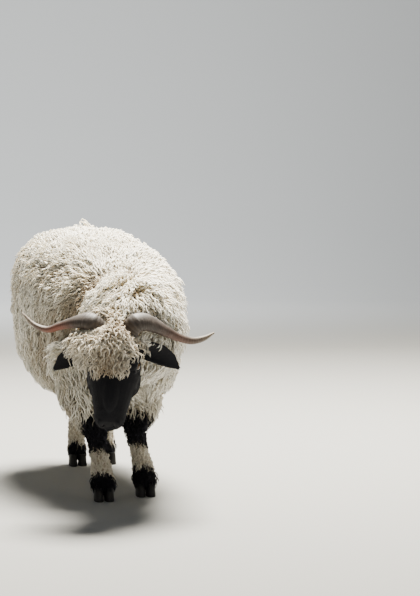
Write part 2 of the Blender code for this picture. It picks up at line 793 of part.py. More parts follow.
def build():
    clear_scene()
    chance = random.Random(SEED)
    nodes = new_collection("nodes")
    wool = material("wool", (0.78, 0.74, 0.64), 0.95)
    black = material("black_face", (0.02, 0.018, 0.017), 0.8)
    horn_stuff = material("horn", (0.36, 0.28, 0.20), 0.55)
    hoof_stuff = material("hoof", (0.03, 0.027, 0.025), 0.5)
    eye_stuff = material("eye", (0.05, 0.03, 0.015), 0.1)

    whole = joined("whole", fleece_pieces(chance))
    neck_point, neck_front = NECK_PLANE
    head_point, head_front = HEAD_PLANE

    torso = copy_of(whole, "torso")
    part_at(torso, neck_point - neck_front * GAP / 2, -neck_front)
    for name, (low, high) in REGIONS.items():
        cut_by(torso, box(low, high))
        piece = copy_of(whole, name)
        inset = Vector((GAP, GAP, GAP))
        cut_by(piece, box(Vector(low) + inset, Vector(high) - inset), "INTERSECT")
        keep_largest(piece)
        finish_node(piece, name, wool, nodes)
    keep_largest(torso)
    finish_node(torso, "torso", wool, nodes)

    neck = copy_of(whole, "neck")
    part_at(neck, neck_point + neck_front * GAP / 2, neck_front)
    part_at(neck, head_point - head_front * GAP / 2, -head_front)
    cut_by(neck, box((-0.4, -0.6, 0.0), (0.4, -0.1, REGIONS["leg_front_left"][1][2] + GAP)))
    keep_largest(neck)

    head = head_shape(chance)
    part_at(head, head_point + head_front * GAP / 2, head_front)

    for name, path in (("horn_right", HORN_RIGHT), ("horn_left", HORN_LEFT)):
        for holder in (head, neck):
            cut_by(holder, horn(path, GAP))
        finish_node(horn(path), name, horn_stuff, nodes)
    for name, side in (("eye_right", -1), ("eye_left", 1)):
        cut_by(head, eye(side, GAP))
        finish_node(eye(side), name, eye_stuff, nodes)
    for name, path, side in (("ear_right", EAR_RIGHT, -1), ("ear_left", EAR_LEFT, 1)):
        for holder in (head, neck):
            cut_by(holder, ear(path, side, GAP))
        finish_node(ear(path, side), name, black, nodes)
    for obj, name, finish in ((neck, "neck", wool), (head, "head", black)):
        keep_largest(obj)
        finish_node(obj, name, finish, nodes)

    for place, foot in FEET.items():
        for side, word in ((-1, "right"), (1, "left")):
            finish_node(claw(foot, side), f"hoof_{place}_{word}", hoof_stuff, nodes)
    bpy.data.objects.remove(whole, do_unlink=True)
    centre_on_floor(nodes)


build()
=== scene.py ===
# %% [markdown]
# A Valais Blacknose ewe, life size, as a still model. The animal is mostly coat: a thick
# curly fleece over a plain body, a black face under a wig of ringlets, and two flat horns.
# So the lesson runs from the inside out: the skin first, then the horns, eyes and claws,
# and last the wool, which is thousands of thin curled locks rooted on the skin.

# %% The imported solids
import math

import bpy
import numpy as np
from mathutils import Matrix, Vector
from mathutils.kdtree import KDTree


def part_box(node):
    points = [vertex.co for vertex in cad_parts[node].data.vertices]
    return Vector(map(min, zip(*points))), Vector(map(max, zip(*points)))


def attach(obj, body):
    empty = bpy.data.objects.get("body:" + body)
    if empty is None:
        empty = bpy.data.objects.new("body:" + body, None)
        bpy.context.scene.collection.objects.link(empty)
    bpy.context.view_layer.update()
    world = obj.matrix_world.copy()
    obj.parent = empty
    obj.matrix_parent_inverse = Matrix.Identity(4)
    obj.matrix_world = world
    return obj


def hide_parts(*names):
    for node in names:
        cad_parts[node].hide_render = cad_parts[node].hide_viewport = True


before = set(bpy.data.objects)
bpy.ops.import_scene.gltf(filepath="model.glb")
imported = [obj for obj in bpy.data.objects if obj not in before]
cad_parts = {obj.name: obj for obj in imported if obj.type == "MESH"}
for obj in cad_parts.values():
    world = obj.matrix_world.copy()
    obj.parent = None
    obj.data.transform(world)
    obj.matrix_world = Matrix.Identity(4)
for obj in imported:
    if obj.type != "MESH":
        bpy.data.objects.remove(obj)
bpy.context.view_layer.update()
rng = np.random.default_rng(7)

# %% [markdown]
# The measures below are the animal's own, taken with one front claw as the fixed point.
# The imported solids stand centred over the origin, so one shift carries every measure to
# its place. It is read from that claw's box and not typed in. The tables of measures are
# written in whole millimetres, or in tenths of one, which are easier to read and compare.

# %% Where the animal stands
CLAW_MEASURED = Vector((-0.0798, -0.376, 0.0))


def in_mm(*rows, parts=1):
    """A table in metres from one in millimetres, or from one in tenths with parts=10."""
    return tuple(in_mm(*row, parts=parts) if isinstance(row, tuple) else row / (1000 * parts)
                 for row in rows)


claw_low, claw_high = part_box("hoof_front_right_right")
SHIFT = (claw_low + claw_high) / 2 - CLAW_MEASURED
SHIFT.z = 0.0
print("shift from the measures to the frame:", [round(v, 4) for v in SHIFT])

# %% [markdown]
# The camera stands far off with a long lens, low, a little to the animal's right. It is
# aimed by turning it, so that the ewe keeps her place in the left of the picture.

# %% Camera
PHOTO_SIZE = (420, 596)
FOCAL_PIXELS = 1975.0
SENSOR = 36.0
CAMERA_DISTANCE = 6.0
CAMERA_AZIMUTH = math.radians(-8.0)
CAMERA_ELEVATION = math.radians(5.0)
TARGET = Vector((0.0, 0.0, 0.40)) + SHIFT
TARGET_PIXEL = (107.5, 349.0)

back = Vector((math.sin(CAMERA_AZIMUTH) * math.cos(CAMERA_ELEVATION),
               -math.cos(CAMERA_AZIMUTH) * math.cos(CAMERA_ELEVATION),
               math.sin(CAMERA_ELEVATION)))
right = Vector((0, 0, 1)).cross(back).normalized()
up = back.cross(right)
eye_point = TARGET + back * CAMERA_DISTANCE
aim = (TARGET + right * (PHOTO_SIZE[0] / 2 - TARGET_PIXEL[0]) / FOCAL_PIXELS * CAMERA_DISTANCE
       - up * (PHOTO_SIZE[1] / 2 - TARGET_PIXEL[1]) / FOCAL_PIXELS * CAMERA_DISTANCE)

bpy.ops.object.camera_add(location=eye_point)
camera = bpy.context.object
camera.name = "camera"
camera.rotation_euler = (aim - eye_point).to_track_quat("-Z", "Y").to_euler()
camera.data.sensor_width = SENSOR
camera.data.lens = FOCAL_PIXELS * SENSOR / PHOTO_SIZE[1]
bpy.context.scene.camera = camera
print("camera lens", round(camera.data.lens, 1), "mm")

# %% [markdown]
# A wide pale floor and soft lights: a key, a weak fill and one for the backdrop. The
# floor's edge is extruded up in a quarter circle all round, so that no horizon line cuts
# the picture from any side. The key hangs high behind her and a little to her left, because
# the fleece is brightest along the back and darkest low on the other flank.

# %% Floor and light
FLOOR_RADIUS = 9.0
COVE_RADIUS = 5.0
COVE_STEPS = 10
CLEAR_LIGHT = (0.94, 0.97, 1.0)
WARM_LIGHT = (1.0, 0.95, 0.84)


def edit_all():
    """Opens the active mesh for editing, with all of it selected."""
    bpy.ops.object.mode_set(mode="EDIT")
    bpy.ops.mesh.select_all(action="SELECT")


def area_light(name, place, size, watts, colour, towards=(0.0, 0.0, 0.45)):
    bpy.ops.object.light_add(type="AREA", location=place)
    lamp = bpy.context.object
    lamp.name = name
    lamp.data.size = size
    lamp.data.energy = watts
    lamp.data.color = colour
    lamp.rotation_euler = (Vector(towards) - Vector(place)).to_track_quat("-Z", "Y").to_euler()


bpy.ops.object.select_all(action="DESELECT")
bpy.ops.mesh.primitive_circle_add(vertices=96, radius=FLOOR_RADIUS, fill_type="NGON")
floor = bpy.context.object
floor.name = "floor"
edit_all()
bpy.ops.mesh.region_to_loop()
out, high = FLOOR_RADIUS, 0.0
for step in range(1, COVE_STEPS + 1):
    angle = math.pi / 2 * step / COVE_STEPS
    next_out = FLOOR_RADIUS + COVE_RADIUS * math.sin(angle)
    next_high = COVE_RADIUS * (1 - math.cos(angle))
    bpy.ops.mesh.extrude_region_move(TRANSFORM_OT_translate={"value": (0, 0, next_high - high)})
    bpy.ops.transform.resize(value=(next_out / out, next_out / out, 1))
    out, high = next_out, next_high
bpy.ops.mesh.select_all(action="SELECT")
bpy.ops.mesh.normals_make_consistent(inside=True)
bpy.ops.object.mode_set(mode="OBJECT")
bpy.ops.object.shade_smooth()
floor_paint = bpy.data.materials.new("floor_paint")
floor_paint.use_nodes = True
paint = floor_paint.node_tree.nodes["Principled BSDF"].inputs
paint["Base Color"].default_value = (0.32, 0.32, 0.31, 1.0)
paint["Roughness"].default_value = 0.9
floor.data.materials.append(floor_paint)
area_light("key", (0.7, 1.55, 4.4), 1.6, 1900, WARM_LIGHT)
area_light("front_fill", (-0.4, -4.4, 2.4), 2.8, 14, CLEAR_LIGHT)
area_light("backdrop", (0.0, 7.0, 4.5), 3.0, 1150, CLEAR_LIGHT, (0.0, 13.0, 1.2))
world = bpy.data.worlds.new("studio")
world.use_nodes = True
sky = world.node_tree.nodes["Background"].inputs
sky["Color"].default_value = (0.50, 0.53, 0.55, 1.0)
sky["Strength"].default_value = 0.35
bpy.context.scene.world = world

# %% [markdown]
# The body under the wool is a set of sleeves: ovals strung along the trunk, the neck, the
# legs and the tail. Each oval is a circle primitive, sized and turned, and bridging the
# circles makes the sleeve. Wool hides the ribs, so a few stations say enough. The skin
# lies under the tips of the wool by the depth of the outer coat.

# %% Measures of the body
COAT_DEPTH = 0.042
LEG_COAT_DEPTH = 0.011
TAIL_COAT_DEPTH = 0.015
# y, middle x, half width, top, bottom, out to the tips of the wool
TRUNK = in_mm((478, -44, 60, 650, 460), (458, -46, 135, 706, 385), (415, -48, 192, 746, 325),
              (350, -47, 222, 768, 290), (260, -42, 237, 774, 256), (130, -34, 241, 766, 230),
              (0, -22, 236, 750, 226), (-120, -12, 224, 732, 226), (-220, -2, 212, 710, 228),
              (-310, 4, 196, 682, 238), (-370, 8, 160, 645, 270), (-405, 8, 105, 595, 340))
# middle, half width, rise, drop
NECK = in_mm(((6, -230, 540), 190, 160, 200), ((12, -320, 520), 184, 160, 190),
             ((16, -400, 500), 172, 166, 170), ((6, -470, 486), 156, 160, 150),
             ((-20, -530, 474), 136, 136, 134), ((-56, -590, 462), 116, 104, 120))
# offset from the foot, half width, front, back
FRONT_LEG = in_mm(((34, 70, 420), 90, 100, 110), ((30, 45, 330), 84, 84, 88),
                  ((18, 18, 262), 76, 70, 74), ((8, 4, 224), 54, 50, 52),
                  ((0, -3, 192), 37, 36, 38), ((0, 0, 160), 33, 33, 36),
                  ((0, 3, 120), 32, 32, 36), ((0, 4, 85), 36, 36, 42), ((0, -4, 55), 37, 36, 40),
                  ((0, -10, 34), 34, 36, 34))
HIND_LEG = in_mm(((45, -90, 480), 120, 140, 130), ((30, -20, 370), 86, 100, 85),
                 ((12, 32, 305), 60, 64, 56), ((0, 50, 262), 38, 44, 40),
                 ((0, 44, 222), 34, 36, 38), ((0, 28, 150), 32, 33, 35),
                 ((0, 18, 90), 36, 36, 42), ((0, 6, 58), 37, 36, 42), ((0, -6, 34), 34, 36, 34))
FEET = {"front_right": Vector((-0.065, -0.362, 0.0)), "front_left": Vector((0.065, -0.300, 0.0)),
        "hind_right": Vector((-0.052, 0.340, 0.0)), "hind_left": Vector((0.046, 0.362, 0.0))}
KNEE_LEAN = {"front_right": 0.022, "front_left": 0.030, "hind_right": 0.0, "hind_left": 0.0}
# how far the top of each leg leans in, or with a minus out, to follow the bend of the body
TOP_LEAN = {"front_right": -0.012, "front_left": 0.0, "hind_right": 0.0, "hind_left": 0.026}
# middle, half width, back, front
TAIL = in_mm(((-44, 360, 640), 34, 32, 32), ((-44, 430, 672), 44, 38, 38),
             ((-44, 478, 640), 52, 38, 38), ((-44, 496, 565), 54, 36, 38),
             ((-44, 490, 485), 46, 32, 34), ((-44, 478, 420), 28, 20, 22))
# how square the trunk is above and below its widest line, where 2 is an oval
BACK_SQUARENESS = 3.1
BELLY_SQUARENESS = 2.4

# %% Helpers: ovals, sleeves and applied modifiers
RING_SIDES = 24


def deselect_all():
    bpy.ops.object.select_all(action="DESELECT")


def only(obj):
    """Makes this the one selected, active object."""
    deselect_all()
    obj.select_set(True)
    bpy.context.view_layer.objects.active = obj


def oval(centre, across, upwards, width, rise, drop, squareness=(2.0, 2.0)):
    """A circle primitive, squared above and below if asked, sized and turned to its station."""
    across = Vector(across).normalized()
    upwards = Vector(upwards).normalized()
    turn = Matrix((across, upwards, across.cross(upwards))).transposed()
    place = Vector(centre) + upwards * (rise - drop) / 2
    bpy.ops.mesh.primitive_circle_add(vertices=RING_SIDES, radius=1.0, location=place,
                                      rotation=turn.to_euler())
    ring = bpy.context.object
    for vert in ring.data.vertices:
        power = squareness[0] if vert.co.y > 0 else squareness[1]
        for axis in (0, 1):
            vert.co[axis] = math.copysign(abs(vert.co[axis]) ** (2 / power), vert.co[axis])
    ring.scale = (width, (rise + drop) / 2, 1.0)
    return ring


def join(objects, name):
    deselect_all()
    for obj in objects:
        obj.select_set(True)
    bpy.context.view_layer.objects.active = objects[0]
    bpy.ops.object.join()
    joined = bpy.context.object
    bpy.ops.object.transform_apply(location=True, rotation=True, scale=True)
    joined.name = name
    return joined


def sleeve(name, ovals):
    """Bridges the ovals into one closed sleeve."""
    made = join(ovals, name)
    edit_all()
    bpy.ops.mesh.bridge_edge_loops()
    bpy.ops.mesh.select_all(action="DESELECT")
    bpy.ops.mesh.select_non_manifold()
    bpy.ops.mesh.fill_holes(sides=0)
    bpy.ops.mesh.select_all(action="SELECT")
    bpy.ops.mesh.normals_make_consistent(inside=False)
    bpy.ops.object.mode_set(mode="OBJECT")
    return made


def apply_modifier(obj, kind, **settings):
    only(obj)
    step = obj.modifiers.new(kind.title(), kind)
    for key, value in settings.items():
        setattr(step, key, value)
    bpy.ops.object.modifier_apply(modifier=step.name)


def heading(line, i):
    """Which way a line of points runs at one of them."""
    return (line[min(i + 1, len(line) - 1)] - line[max(i - 1, 0)]).normalized()


def square_to_path(stations, grow):
    """Ovals that stand square to the line through their middles."""
    middles = [Vector(station[0]) + SHIFT for station in stations]
    made = []
    for i, (_, width, rise, drop) in enumerate(stations):
        ahead = heading(middles, i)
        side = (Vector((1, 0, 0)) - ahead * ahead.x).normalized()
        made.append(oval(middles[i], side, ahead.cross(side), width + grow, rise + grow, drop + grow))
    return made


# %% [markdown]
# The trunk's ovals are squared a little, because the fleece of the back and flanks hangs
# flat and turns down sharply at the shoulders of the back. All sleeves are then melted
# into one surface by a voxel remesh, which a sculptor would do too, and smoothed.

# %% The body's skin
BODY_VOXEL = 0.008


def trunk_ovals():
    rear, front = TRUNK[0][0], TRUNK[-1][0]
    made = []
    for y, x, width, top, bottom in TRUNK:
        inwards = -COAT_DEPTH * (2 * (y - front) / (rear - front) - 1)
        middle = Vector((x, y + inwards, (top + bottom) / 2)) + SHIFT
        half = (top - bottom) / 2 - COAT_DEPTH
        made.append(oval(middle, (1, 0, 0), (0, 0, 1), width - COAT_DEPTH, half, half,
                         (BACK_SQUARENESS, BELLY_SQUARENESS)))
    return made


def part_way(value, start, length):
    """0 up to the start, 1 after the length, and straight between."""
    return min(max((value - start) / length, 0.0), 1.0)


def leg_stations(place):
    outwards = -1 if "right" in place else 1
    stations = []
    for (x, y, z), width, ahead, behind in FRONT_LEG if "front" in place else HIND_LEG:
        lean = KNEE_LEAN[place] * part_way(z, 0.06, 0.14) + TOP_LEAN[place] * part_way(z, 0.30, 0.10)
        extra = LEG_COAT_DEPTH * 2 * part_way(z, 0.20, 0.06)
        stations.append((FEET[place] + Vector((outwards * x - lean, y, z)),
                         width - extra, ahead - extra, behind - extra))
    return stations


sleeves = [sleeve("trunk", trunk_ovals()), sleeve("neck", square_to_path(NECK, -COAT_DEPTH)),
           sleeve("tail", square_to_path(TAIL, -TAIL_COAT_DEPTH))]
for place in FEET:
    sleeves.append(sleeve("leg", square_to_path(leg_stations(place), -LEG_COAT_DEPTH)))
body_skin = join(sleeves, "body_skin")
apply_modifier(body_skin, "REMESH", mode="VOXEL", voxel_size=BODY_VOXEL)
apply_modifier(body_skin, "SMOOTH", factor=0.5, iterations=8)
print("body skin:", len(body_skin.data.polygons), "faces")

# %% [markdown]
# The head gets the most care. It is modelled lying level, nose ahead, and turned into
# place at the end. The skull is a sleeve too: broad at the eyes, with the arched nose of
# the breed, and a blunt muzzle. Cheeks, brows, nostril wings, lips and chin are spheres,
# squashed and turned, which the remesh melts into the skull.

# %% Measures of the head
HEAD_PLACE = Vector((-0.059, -0.612, 0.505)) + SHIFT
HEAD_TURN = (Matrix.Rotation(math.radians(-12.0), 4, "Z") @ Matrix.Rotation(math.radians(4.0), 4, "Y")
             @ Matrix.Rotation(math.radians(68.0), 4, "X"))
HEAD = Matrix.Translation(HEAD_PLACE) @ HEAD_TURN
# distance from the poll, half width, rise, drop
SKULL = in_mm((0, 480, 360, 560), (300, 590, 520, 800), (620, 650, 580, 920),
              (960, 720, 580, 920), (1220, 720, 530, 890), (1500, 660, 500, 790),
              (1800, 560, 470, 630), (2100, 485, 420, 520), (2340, 440, 360, 460),
              (2520, 410, 270, 410), (2640, 350, 170, 360), (2720, 250, 60, 290), parts=10)
# the wool on the crown, out to its tips
CROWN = in_mm((-36, 60, 26, 48), (-10, 86, 48, 78), (22, 102, 80, 90), (50, 106, 92, 88),
              (76, 94, 86, 76), (102, 58, 72, 30), (130, 34, 60, 18))
CROWN_COAT_DEPTH = 0.020
CROWN_SHIFT = -0.024
EYE_RADIUS = 0.0135
EYE_PLACE = Vector((0.0580, -0.104, 0.027))
EYE_GAZE = Vector((0.93, -0.22, 0.30)).normalized()
EAR_RIGHT = in_mm((-128, -612, 456), (-160, -592, 444), (-194, -570, 424), (-226, -550, 396))
EAR_LEFT = in_mm((-8, -634, 452), (34, -610, 444), (80, -586, 424), (120, -566, 394))
EAR_WIDTHS = in_mm(170, 260, 270, 210, 40, parts=10)
EAR_WALL = 0.0052
HEAD_VOXEL = 0.0021

# %% Helpers for the head


def head_oval(ahead, width, rise, drop, grow=0.0, shift=0.0):
    return oval((shift, -ahead, 0), (1, 0, 0), (0, 0, 1), width + grow, rise + grow, drop + grow)


def lump(centre, sizes, turn):
    """A sphere squashed to three half sizes and turned, in degrees."""
    bpy.ops.mesh.primitive_uv_sphere_add(segments=24, ring_count=14, radius=1.0, location=centre,
                                         rotation=[math.radians(v) for v in turn])
    made = bpy.context.object
    made.scale = sizes
    bpy.ops.object.transform_apply(location=True, rotation=True, scale=True)
    return made


def mirrored(point, side):
    """The point as it is for side 1, and its mirror image for side -1."""
    return Vector((side * point[0], point[1], point[2]))


def smooth_path(points, steps):
    """Catmull-Rom points through the given ones."""
    points = [Vector(point) for point in points]
    padded = [2 * points[0] - points[1], *points, 2 * points[-1] - points[-2]]
    path = []
    for i in range(1, len(padded) - 2):
        before, start, end, after = padded[i - 1:i + 3]
        for k in range(steps):
            t = k / steps
            path.append(0.5 * (2 * start + (end - before) * t
                               + (2 * before - 5 * start + 4 * end - after) * t * t
                               + (3 * start - before - 3 * end + after) * t ** 3))
    return [*path, points[-1]]


def sampled(values, share):
    """The value at a share of the way along a row of them."""
    place = part_way(share, 0.0, 1.0) * (len(values) - 1)
    low = min(int(place), len(values) - 2)
    return values[low] + (values[low + 1] - values[low]) * (place - low)


# %% [markdown]
# An ear is a leaf rolled into a cup that opens forwards. A grid primitive gives the leaf:
# each of its points is carried to a station along the ear and bent round the cup, and
# Solidify gives the wall.

# %% Ears


def ear(name, path, side):
    line = [point + SHIFT for point in smooth_path(path, 4)]
    bpy.ops.mesh.primitive_grid_add(x_subdivisions=24, y_subdivisions=14, size=2.0)
    leaf = bpy.context.object
    leaf.name = name
    for vert in leaf.data.vertices:
        share = (vert.co.x + 1) / 2
        place = share * (len(line) - 1)
        low = min(int(place), len(line) - 2)
        ahead = (line[low + 1] - line[low]).normalized()
        middle = line[low].lerp(line[low + 1], place - low)
        upwards = (Vector((0, 0, 1)) - ahead * ahead.z).normalized()
        front = ahead.cross(upwards) * side
        cup = sampled((1.25, 1.10, 0.85, 0.60, 0.35), share)
        reach = sampled(EAR_WIDTHS, share) / math.sin(cup)
        turn = vert.co.y * cup
        vert.co = middle + upwards * math.sin(turn) * reach - front * (math.cos(turn) - 1) * reach
    apply_modifier(leaf, "SOLIDIFY", thickness=EAR_WALL, offset=0.0)
    return leaf


# %% Skull, muzzle and crown
# middle and half sizes in tenths of a millimetre, turn in degrees, and the sides they are on
LUMPS = {"nose bridge": ((0, -1680, 300), (260, 720, 240), (-4, 0, 0), (1,)),
         "chin": ((0, -2620, -270), (200, 130, 100), (0, 0, 0), (1,)),
         "upper lip": ((0, -2665, -20), (225, 100, 130), (0, 0, 0), (1,)),
         "nostril wings": ((215, -2590, 80), (100, 160, 105), (0, 20, 0), (1, -1)),
         "lips": ((200, -2450, -130), (190, 230, 170), (0, 0, 0), (1, -1)),
         "cheeks": ((490, -1280, -360), (245, 440, 400), (0, 0, 0), (1, -1)),
         "brows": ((520, -990, 440), (150, 230, 100), (0, 25, 0), (1, -1)),
         "cheekbones": ((500, -1560, -60), (140, 320, 110), (0, 0, 0), (1, -1))}
skull = sleeve("skull", [head_oval(*row) for row in SKULL])
crown = sleeve("crown", [head_oval(*row, grow=-CROWN_COAT_DEPTH, shift=CROWN_SHIFT) for row in CROWN])
head_forms = [skull, crown]
for centre, sizes, turn, sides in LUMPS.values():
    for side in sides:
        head_forms.append(lump(mirrored(in_mm(*centre, parts=10), side), in_mm(*sizes, parts=10),
                               (turn[0], side * turn[1], side * turn[2])))
print("head forms:", len(head_forms))

# %% [markdown]
# Sheep's lids are two soft rims that meet at the corners of an almond. A torus squashed
# along the head and turned to the gaze gives both at once, and the eyeball's own socket,
# cut later, opens it.

# %% Lids
LID_RADIUS = 0.0118
LID_THICKNESS = 0.0036


def lid_rim(side):
    gaze = mirrored(EYE_GAZE, side)
    centre = mirrored(EYE_PLACE, side) + gaze * 0.0088
    along = (Vector((0, -1, 0)) - gaze * -gaze.y).normalized()
    turn = Matrix((along, gaze.cross(along), gaze)).transposed()
    bpy.ops.mesh.primitive_torus_add(major_radius=LID_RADIUS, minor_radius=LID_THICKNESS,
                                     major_segments=40, minor_segments=14, location=centre,
                                     rotation=turn.to_euler())
    rim = bpy.context.object
    for vert in rim.data.vertices:
        share = vert.co.x / (LID_RADIUS + LID_THICKNESS)
        vert.co.x *= 1.42
        vert.co.y *= 0.92 - 0.30 * share * share
        vert.co.z -= 0.0065 * share * share
    bpy.ops.object.transform_apply(location=True, rotation=True, scale=True)
    return rim


head_forms += [lid_rim(1), lid_rim(-1)]
head_skin = join(head_forms, "head_skin")
head_skin.matrix_world = HEAD
only(head_skin)
bpy.ops.object.transform_apply(location=True, rotation=True, scale=True)
head_skin = join([head_skin, ear("ear", EAR_RIGHT, -1), ear("ear", EAR_LEFT, 1)], "head_skin")
apply_modifier(head_skin, "REMESH", mode="VOXEL", voxel_size=HEAD_VOXEL)
apply_modifier(head_skin, "SMOOTH", factor=0.5, iterations=5)
print("head skin:", len(head_skin.data.polygons), "faces")

# %% [markdown]
# Sockets and nostrils are cut with spheres and slanting eggs. The line of the mouth is a
# groove: points near its curve are pushed in, most on the curve itself.

# %% Sockets, nostrils and mouth
SOCKET_GAP = 0.0003
NOSTRIL_PLACE = (0.0168, -0.2710, 0.0035)
NOSTRIL_SIZES = (0.0034, 0.0100, 0.0085)
NOSTRIL_SLANT = -40
NOSTRIL_SPLAY = 26
MOUTH_HALF_WIDTH = 0.0460
MOUTH_FRONT = -0.2760
# depth and width of the grooves
MOUTH_GROOVE = (0.0042, 0.0024)
PHILTRUM_GROOVE = (0.0022, 0.0020)


def in_fixed_order(mesh):
    """Rebuilds a mesh with its faces sorted, since a new sphere's order differs in each run."""
    points = [vert.co.copy() for vert in mesh.vertices]
    faces = sorted(list(polygon.vertices) for polygon in mesh.polygons)
    mesh.clear_geometry()
    mesh.from_pydata(points, [], faces)


def cut(obj, cutter):
    cutter.data.transform(cutter.matrix_world)
    cutter.matrix_world = Matrix.Identity(4)
    in_fixed_order(cutter.data)
    apply_modifier(obj, "BOOLEAN", operation="DIFFERENCE", object=cutter)
    bpy.data.objects.remove(cutter, do_unlink=True)


def read_rows(items, key, width, kind=np.float32):
    """One property of every item, as the rows of a table."""
    flat = np.zeros(len(items) * width, kind)
    items.foreach_get(key, flat)
    return flat.reshape(-1, width)


def mesh_points(obj):
    """Where a mesh's points are, and which way each of them faces."""
    return [read_rows(obj.data.vertices, key, 3).astype(float) for key in ("co", "normal")]


def swell(values, middle, width):
    """A soft bump: 1 at the middle, and fading to both sides of it."""
    return np.exp(-((values - middle) / width) ** 2)


def groove(obj, curve, depth, width):
    """Pushes the points near a curve, given in the head's own frame, inwards."""
    points = np.array([HEAD @ Vector(point) for point in curve])
    where, facing = mesh_points(obj)
    near = np.min(np.linalg.norm(where[:, None, :] - points[None, :, :], axis=2), axis=1)
    where -= facing * (depth * swell(near, 0.0, width))[:, None]
    obj.data.vertices.foreach_set("co", where.astype(np.float32).ravel())
    obj.data.update()


def mouth_line(side):
    """From the middle of the lips back to the corner of the mouth, in the head's frame."""
    line = []
    for k in range(40):
        t = k / 39
        x = side * MOUTH_HALF_WIDTH * math.sin(t * math.pi / 2)
        y = MOUTH_FRONT + 0.066 * t ** 2.2
        line.append((x, y, -0.0150 - 0.0075 * t * t))
    return line


for side in (1, -1):
    socket = lump(mirrored(EYE_PLACE, side), [EYE_RADIUS + SOCKET_GAP] * 3, (0, 0, 0))
    nostril = lump(mirrored(NOSTRIL_PLACE, side), NOSTRIL_SIZES,
                   (0, side * NOSTRIL_SLANT, side * NOSTRIL_SPLAY))
    for cutter in (socket, nostril):
        cutter.matrix_world = HEAD
        cut(head_skin, cutter)
    groove(head_skin, mouth_line(side), *MOUTH_GROOVE)
philtrum = [(0.0, -0.2790, -0.012 + 0.0012 * k) for k in range(12)]
groove(head_skin, philtrum, *PHILTRUM_GROOVE)
print("head after cuts:", len(head_skin.data.polygons), "faces")

# %% [markdown]
# Body and head are united into one closed skin. It is unwrapped once, because each lock
# of wool later takes its place on this unwrap from its root.

# %% One skin
body_skin.data.materials.clear()
head_skin.data.materials.clear()
skin_finish = bpy.data.materials.new("skin_finish")
head_mark = bpy.data.materials.new("head_mark")
body_skin.data.materials.append(skin_finish)
head_skin.data.materials.append(head_mark)
only(body_skin)
body_skin.data.materials.append(head_mark)
apply_modifier(body_skin, "BOOLEAN", operation="UNION", object=head_skin, material_mode="TRANSFER")
bpy.data.objects.remove(head_skin, do_unlink=True)
skin = body_skin
skin.name = "skin"
only(skin)
bpy.ops.object.shade_smooth()
edit_all()
bpy.ops.uv.smart_project(angle_limit=math.radians(66), island_margin=0.002)
bpy.ops.object.mode_set(mode="OBJECT")
on_head = read_rows(skin.data.polygons, "material_index", 1, np.int32)[:, 0]
print("skin:", len(skin.data.polygons), "faces,", int((on_head > 0).sum()), "on the head")
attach(skin, "root")

# %% [markdown]
# Skin and wool have to agree on what is black and what is cream, so one function decides
# it for both. It reads a point's place: head points in the head's own frame, leg points
# by their height. The same place also says what grows there: ringlets on the crown, long
# curls on the body, short ones on the legs, and fine short hair on face, ears and feet.

# %% Zones and markings
HEAD_BACK = HEAD.inverted()
FLEECE, LEG, FOOT, CROWN_WOOL, FACE, EAR, BARE = range(7)
LEG_WOOL_TOP = 0.262
FOOT_WOOL_TOP = 0.074
NO_WOOL_ROUND_EYE = 0.030
BARE_LID = 0.0052
EAR_REACH = 0.038


def moved(matrix, points):
    """A table of points carried by a matrix."""
    grid = np.array(matrix)
    return points @ grid[:3, :3].T + grid[:3, 3]


def ramp(values, low, high):
    """0 up to low, 1 from high on, and a soft rise between."""
    share = np.clip((values - low) / (high - low), 0.0, 1.0)
    return share * share * (3 - 2 * share)


def uneven(points, scale, seed):
    """A cheap smooth noise between about -1 and 1."""
    turns = np.random.default_rng(seed).normal(size=(5, 3))
    total = np.zeros(len(points))
    for i, turn in enumerate(turns):
        total += np.sin(points @ turn * scale * (1 + 0.45 * i) + 1.7 * i)
    return total / 2.6


def zone_of(points, on_the_head):
    """What grows at each point of the skin."""
    measured = points - np.array(SHIFT)
    zone = np.full(len(points), FLEECE)
    zone[measured[:, 2] < LEG_WOOL_TOP] = LEG
    zone[measured[:, 2] < FOOT_WOOL_TOP] = FOOT
    local = moved(HEAD_BACK, points)
    side, ahead, rise = local[:, 0], -local[:, 1], local[:, 2]
    wool_line = 0.052 + 0.056 * ramp(rise, 0.018, 0.050) + 0.004 * uneven(points, 90.0, 3)
    wool_line -= 0.030 * ramp(side, 0.036, 0.050)
    face = np.where(ahead > wool_line, FACE, CROWN_WOOL)
    near_eye = np.hypot(np.hypot(np.abs(side) - EYE_PLACE.x, ahead + EYE_PLACE.y), rise - EYE_PLACE.z)
    face[near_eye < NO_WOOL_ROUND_EYE] = FACE
    face[near_eye < EYE_RADIUS + BARE_LID] = BARE
    face[(ahead > 0.262) & (np.abs(side) < 0.026) & (rise > -0.030)] = BARE
    zone[on_the_head] = face[on_the_head]
    for path in (EAR_RIGHT, EAR_LEFT):
        line = np.array([point + SHIFT for point in smooth_path(path, 6)])
        apart = np.linalg.norm(points[:, None, :] - line[None, 3:, :], axis=2).min(axis=1)
        zone[on_the_head & (apart < EAR_REACH)] = EAR
    return zone


